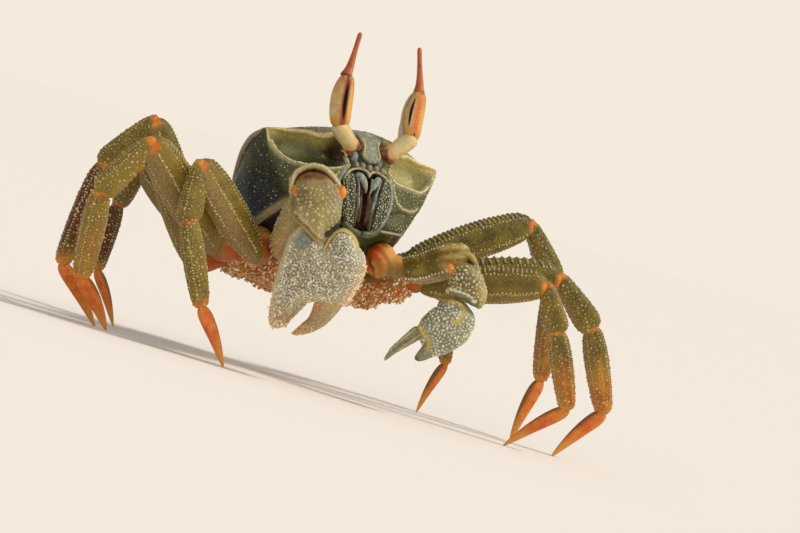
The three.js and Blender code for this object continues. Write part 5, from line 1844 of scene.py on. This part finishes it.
SLEEVE_REACH = 0.3
# how far round the eye the slit and the stripe stand, and where the slit runs along it
SLITS = {"right": (0.36, 9.0, 0.5, 0.29), "left": (-0.2, 0.46, 0.53, 0.23)}

for side_name in ("right", "left"):
    nodes = [f"eyestalk_{side_name}", f"eye_{side_name}", f"eye_horn_{side_name}"]
    joints = chain_joints(nodes, BODY_CENTRE)
    slit, stripe, slit_middle, slit_half = SLITS[side_name]
    for number, node in enumerate(nodes):
        start, end = joints[number], joints[number + 1]
        length = (end - start).length
        matrix = stand_on(start, end, FRONT)
        if number == 0:
            skin = [loft(node + "_skin", sized(STALK_ROWS, 2.1, 2.1), length, 12, 2)]
            if side_name == "left":
                # the stalk's pale skin reaches up the back of this eye
                bulb_length = (joints[2] - joints[1]).length
                sleeve_half = (2.15, 2.1, (0.28 + SLEEVE_REACH) * bulb_length)
                sleeve_at = Vector((-0.7, -0.75, (SLEEVE_REACH - 0.05) * bulb_length))
                sleeve_turn = matrix.inverted() @ stand_on(joints[1], joints[2], FRONT)
                skin.append(ball("sleeve", (0, 0, 0), sleeve_half))
                skin[1].data.transform(sleeve_turn @ Matrix.Translation(sleeve_at))
            for knob, size in ((Vector((0.7, 1.1, -0.2)), 0.85), (Vector((0.4, -1.0, -0.3)), 0.9)):
                skin.append(ball("knob", knob, (size, size, size * 1.1)))
            piece = blend(skin, node + "_skin", voxel=0.14, passes=6)
            co = points_of(piece)
            share = co[:, 2] / length + 0.07 * np.sin(2.2 * co[:, 1] + 1) + 0.05 * np.sin(4.1 * co[:, 0])
            mark(piece, "joint", 0.8 * step(share, 0.22, 0.04) + 0.35 * near(share - 0.3, 0.05))
            mark(piece, "dark", np.clip(0.95 * step(share, 0.08, -0.08)
                                        + 0.5 * near(share - 0.2, 0.02), 0, 1))
            mark(piece, "grey", step(co[:, 1], 0.2, -1.2) * step(share, 0.4, 0.8))
            material, slot_name = STALK, "cream"
        elif number == 1:
            piece = loft(node + "_cornea", sized(BULB_ROWS, 2.5, 2.5), length, 16, 2)
            co = points_of(piece)
            along = np.clip(co[:, 2] / length, 0, 1)
            angle = np.arctan2(co[:, 1], co[:, 0])
            turn = angle - slit
            mark(piece, "turn", turn)
            mark(piece, "stripe", angle - stripe)
            mark(piece, "along", along)
            mark(piece, "run", (along - slit_middle) / slit_half)
            mark(piece, "narrow", 7.0 if side_name == "right" else 9.5)
            mark(piece, "patch", 1.0 if side_name == "right" else 0.0)
            mark(piece, "dot", np.minimum(np.abs(along - 0.09), np.abs(along - 0.93)) * 3)
            is_left = 1.0 if side_name == "left" else 0.0
            edge = -0.45 - 0.2 * np.sin(np.pi * along)
            mark(piece, "skin", is_left * step(turn, edge, edge - 0.12))
            mark(piece, "line", is_left * 0.9 * near(turn - edge, 0.06))
            co[:, 1] -= 0.45 * np.sin(np.pi * along)
            set_points(piece, co)
            material, slot_name = CORNEA, "eye"
        else:
            piece = loft(node + "_horn", HORN_ROWS, length, 12, 2)
            co = points_of(piece)
            along = co[:, 2] / length
            mark(piece, "pale", 0.5 * step(co[:, 1], 0.1, 0.5) + 0.4 * step(along, 0.25, 0.1)
                 * step(co[:, 1], 0, 0.6))
            mark(piece, "dark", 0.85 * step(along, 0.02, -0.03))
            material, slot_name = HORN, "horn"
        place(piece, matrix)
        finish_piece(piece, material, slot_name, node)
print("eyes done")

# %% [markdown]
# ## Floor, light and camera
# A pale warm floor and a pale world, plain soft light from the crab's left and above, and a long
# lens. The camera is rolled, so that the level floor runs downhill to the right of the view.

# %% Stage
FLOOR_TONE = rgb(248, 241, 233)
BACKDROP_TONE = rgb(244, 235, 220)
bpy.ops.mesh.primitive_plane_add(size=60, location=(0, 0, 0))
floor = bpy.context.object
floor.name = "floor"
floor_material = bpy.data.materials.new("pale_floor")
floor_material.use_nodes = True
tree = floor_material.node_tree
tree.nodes["Principled BSDF"].inputs["Base Color"].default_value = FLOOR_TONE
tree.nodes["Principled BSDF"].inputs["Roughness"].default_value = 0.9
floor.data.materials.append(floor_material)

world = bpy.data.worlds.new("studio")
bpy.context.scene.world = world
world.use_nodes = True
tree = world.node_tree
sky = tree.nodes["Background"]
sky.inputs["Color"].default_value = (1.0, 0.97, 0.92, 1)
sky.inputs["Strength"].default_value = 0.4
seen = add_node(tree, "ShaderNodeBackground", Color=BACKDROP_TONE, Strength=1.0)
chosen = add_node(tree, "ShaderNodeMixShader")
tree.links.new(add_node(tree, "ShaderNodeLightPath").outputs["Is Camera Ray"], chosen.inputs[0])
tree.links.new(sky.outputs[0], chosen.inputs[1])
tree.links.new(seen.outputs[0], chosen.inputs[2])
tree.links.new(chosen.outputs[0], tree.nodes["World Output"].inputs["Surface"])


def soft_sun(name, aim, strength, spread, colour):
    """A far, soft light. It falls evenly, so the floor keeps one tone."""
    data = bpy.data.lights.new(name, "SUN")
    data.energy = strength
    data.angle = math.radians(spread)
    data.color = colour
    light = bpy.data.objects.new(name, data)
    bpy.context.scene.collection.objects.link(light)
    light.rotation_euler = Vector(aim).to_track_quat("-Z", "Y").to_euler()


soft_sun("studio_sun", (-0.5, 0.5, -1.0), 1.75, 14, (1.0, 0.96, 0.89))
soft_sun("side_light", (-0.75, 0.5, -0.4), 0.75, 40, (1.0, 0.95, 0.86))
soft_sun("fill", (0.6, 0.8, -0.3), 0.45, 40, (1.0, 0.98, 0.95))

# %% Camera
LENS, SENSOR = 200, 36
AZIMUTH, ELEVATION, ROLL = (math.radians(a) for a in (-31, 1.0, 17))
CAMERA_PLACE = (Vector((-475.957, -835.974, 47.453)) - BOX_MIDDLE) * MM
back = Vector((math.sin(AZIMUTH) * math.cos(ELEVATION), -math.cos(AZIMUTH) * math.cos(ELEVATION),
               math.sin(ELEVATION)))
level_right = Vector((math.cos(AZIMUTH), math.sin(AZIMUTH), 0))
level_up = back.cross(level_right)
right = level_right * math.cos(ROLL) + level_up * math.sin(ROLL)
up_axis = level_up * math.cos(ROLL) - level_right * math.sin(ROLL)
camera_data = bpy.data.cameras.new("camera")
camera_data.lens = LENS
camera_data.sensor_width = SENSOR
camera = bpy.data.objects.new("camera", camera_data)
bpy.context.scene.collection.objects.link(camera)
camera.matrix_world = Matrix.Translation(CAMERA_PLACE) @ Matrix((right, up_axis,
    back)).transposed().to_4x4()
bpy.context.scene.camera = camera
bpy.context.scene.view_settings.view_transform = "Standard"
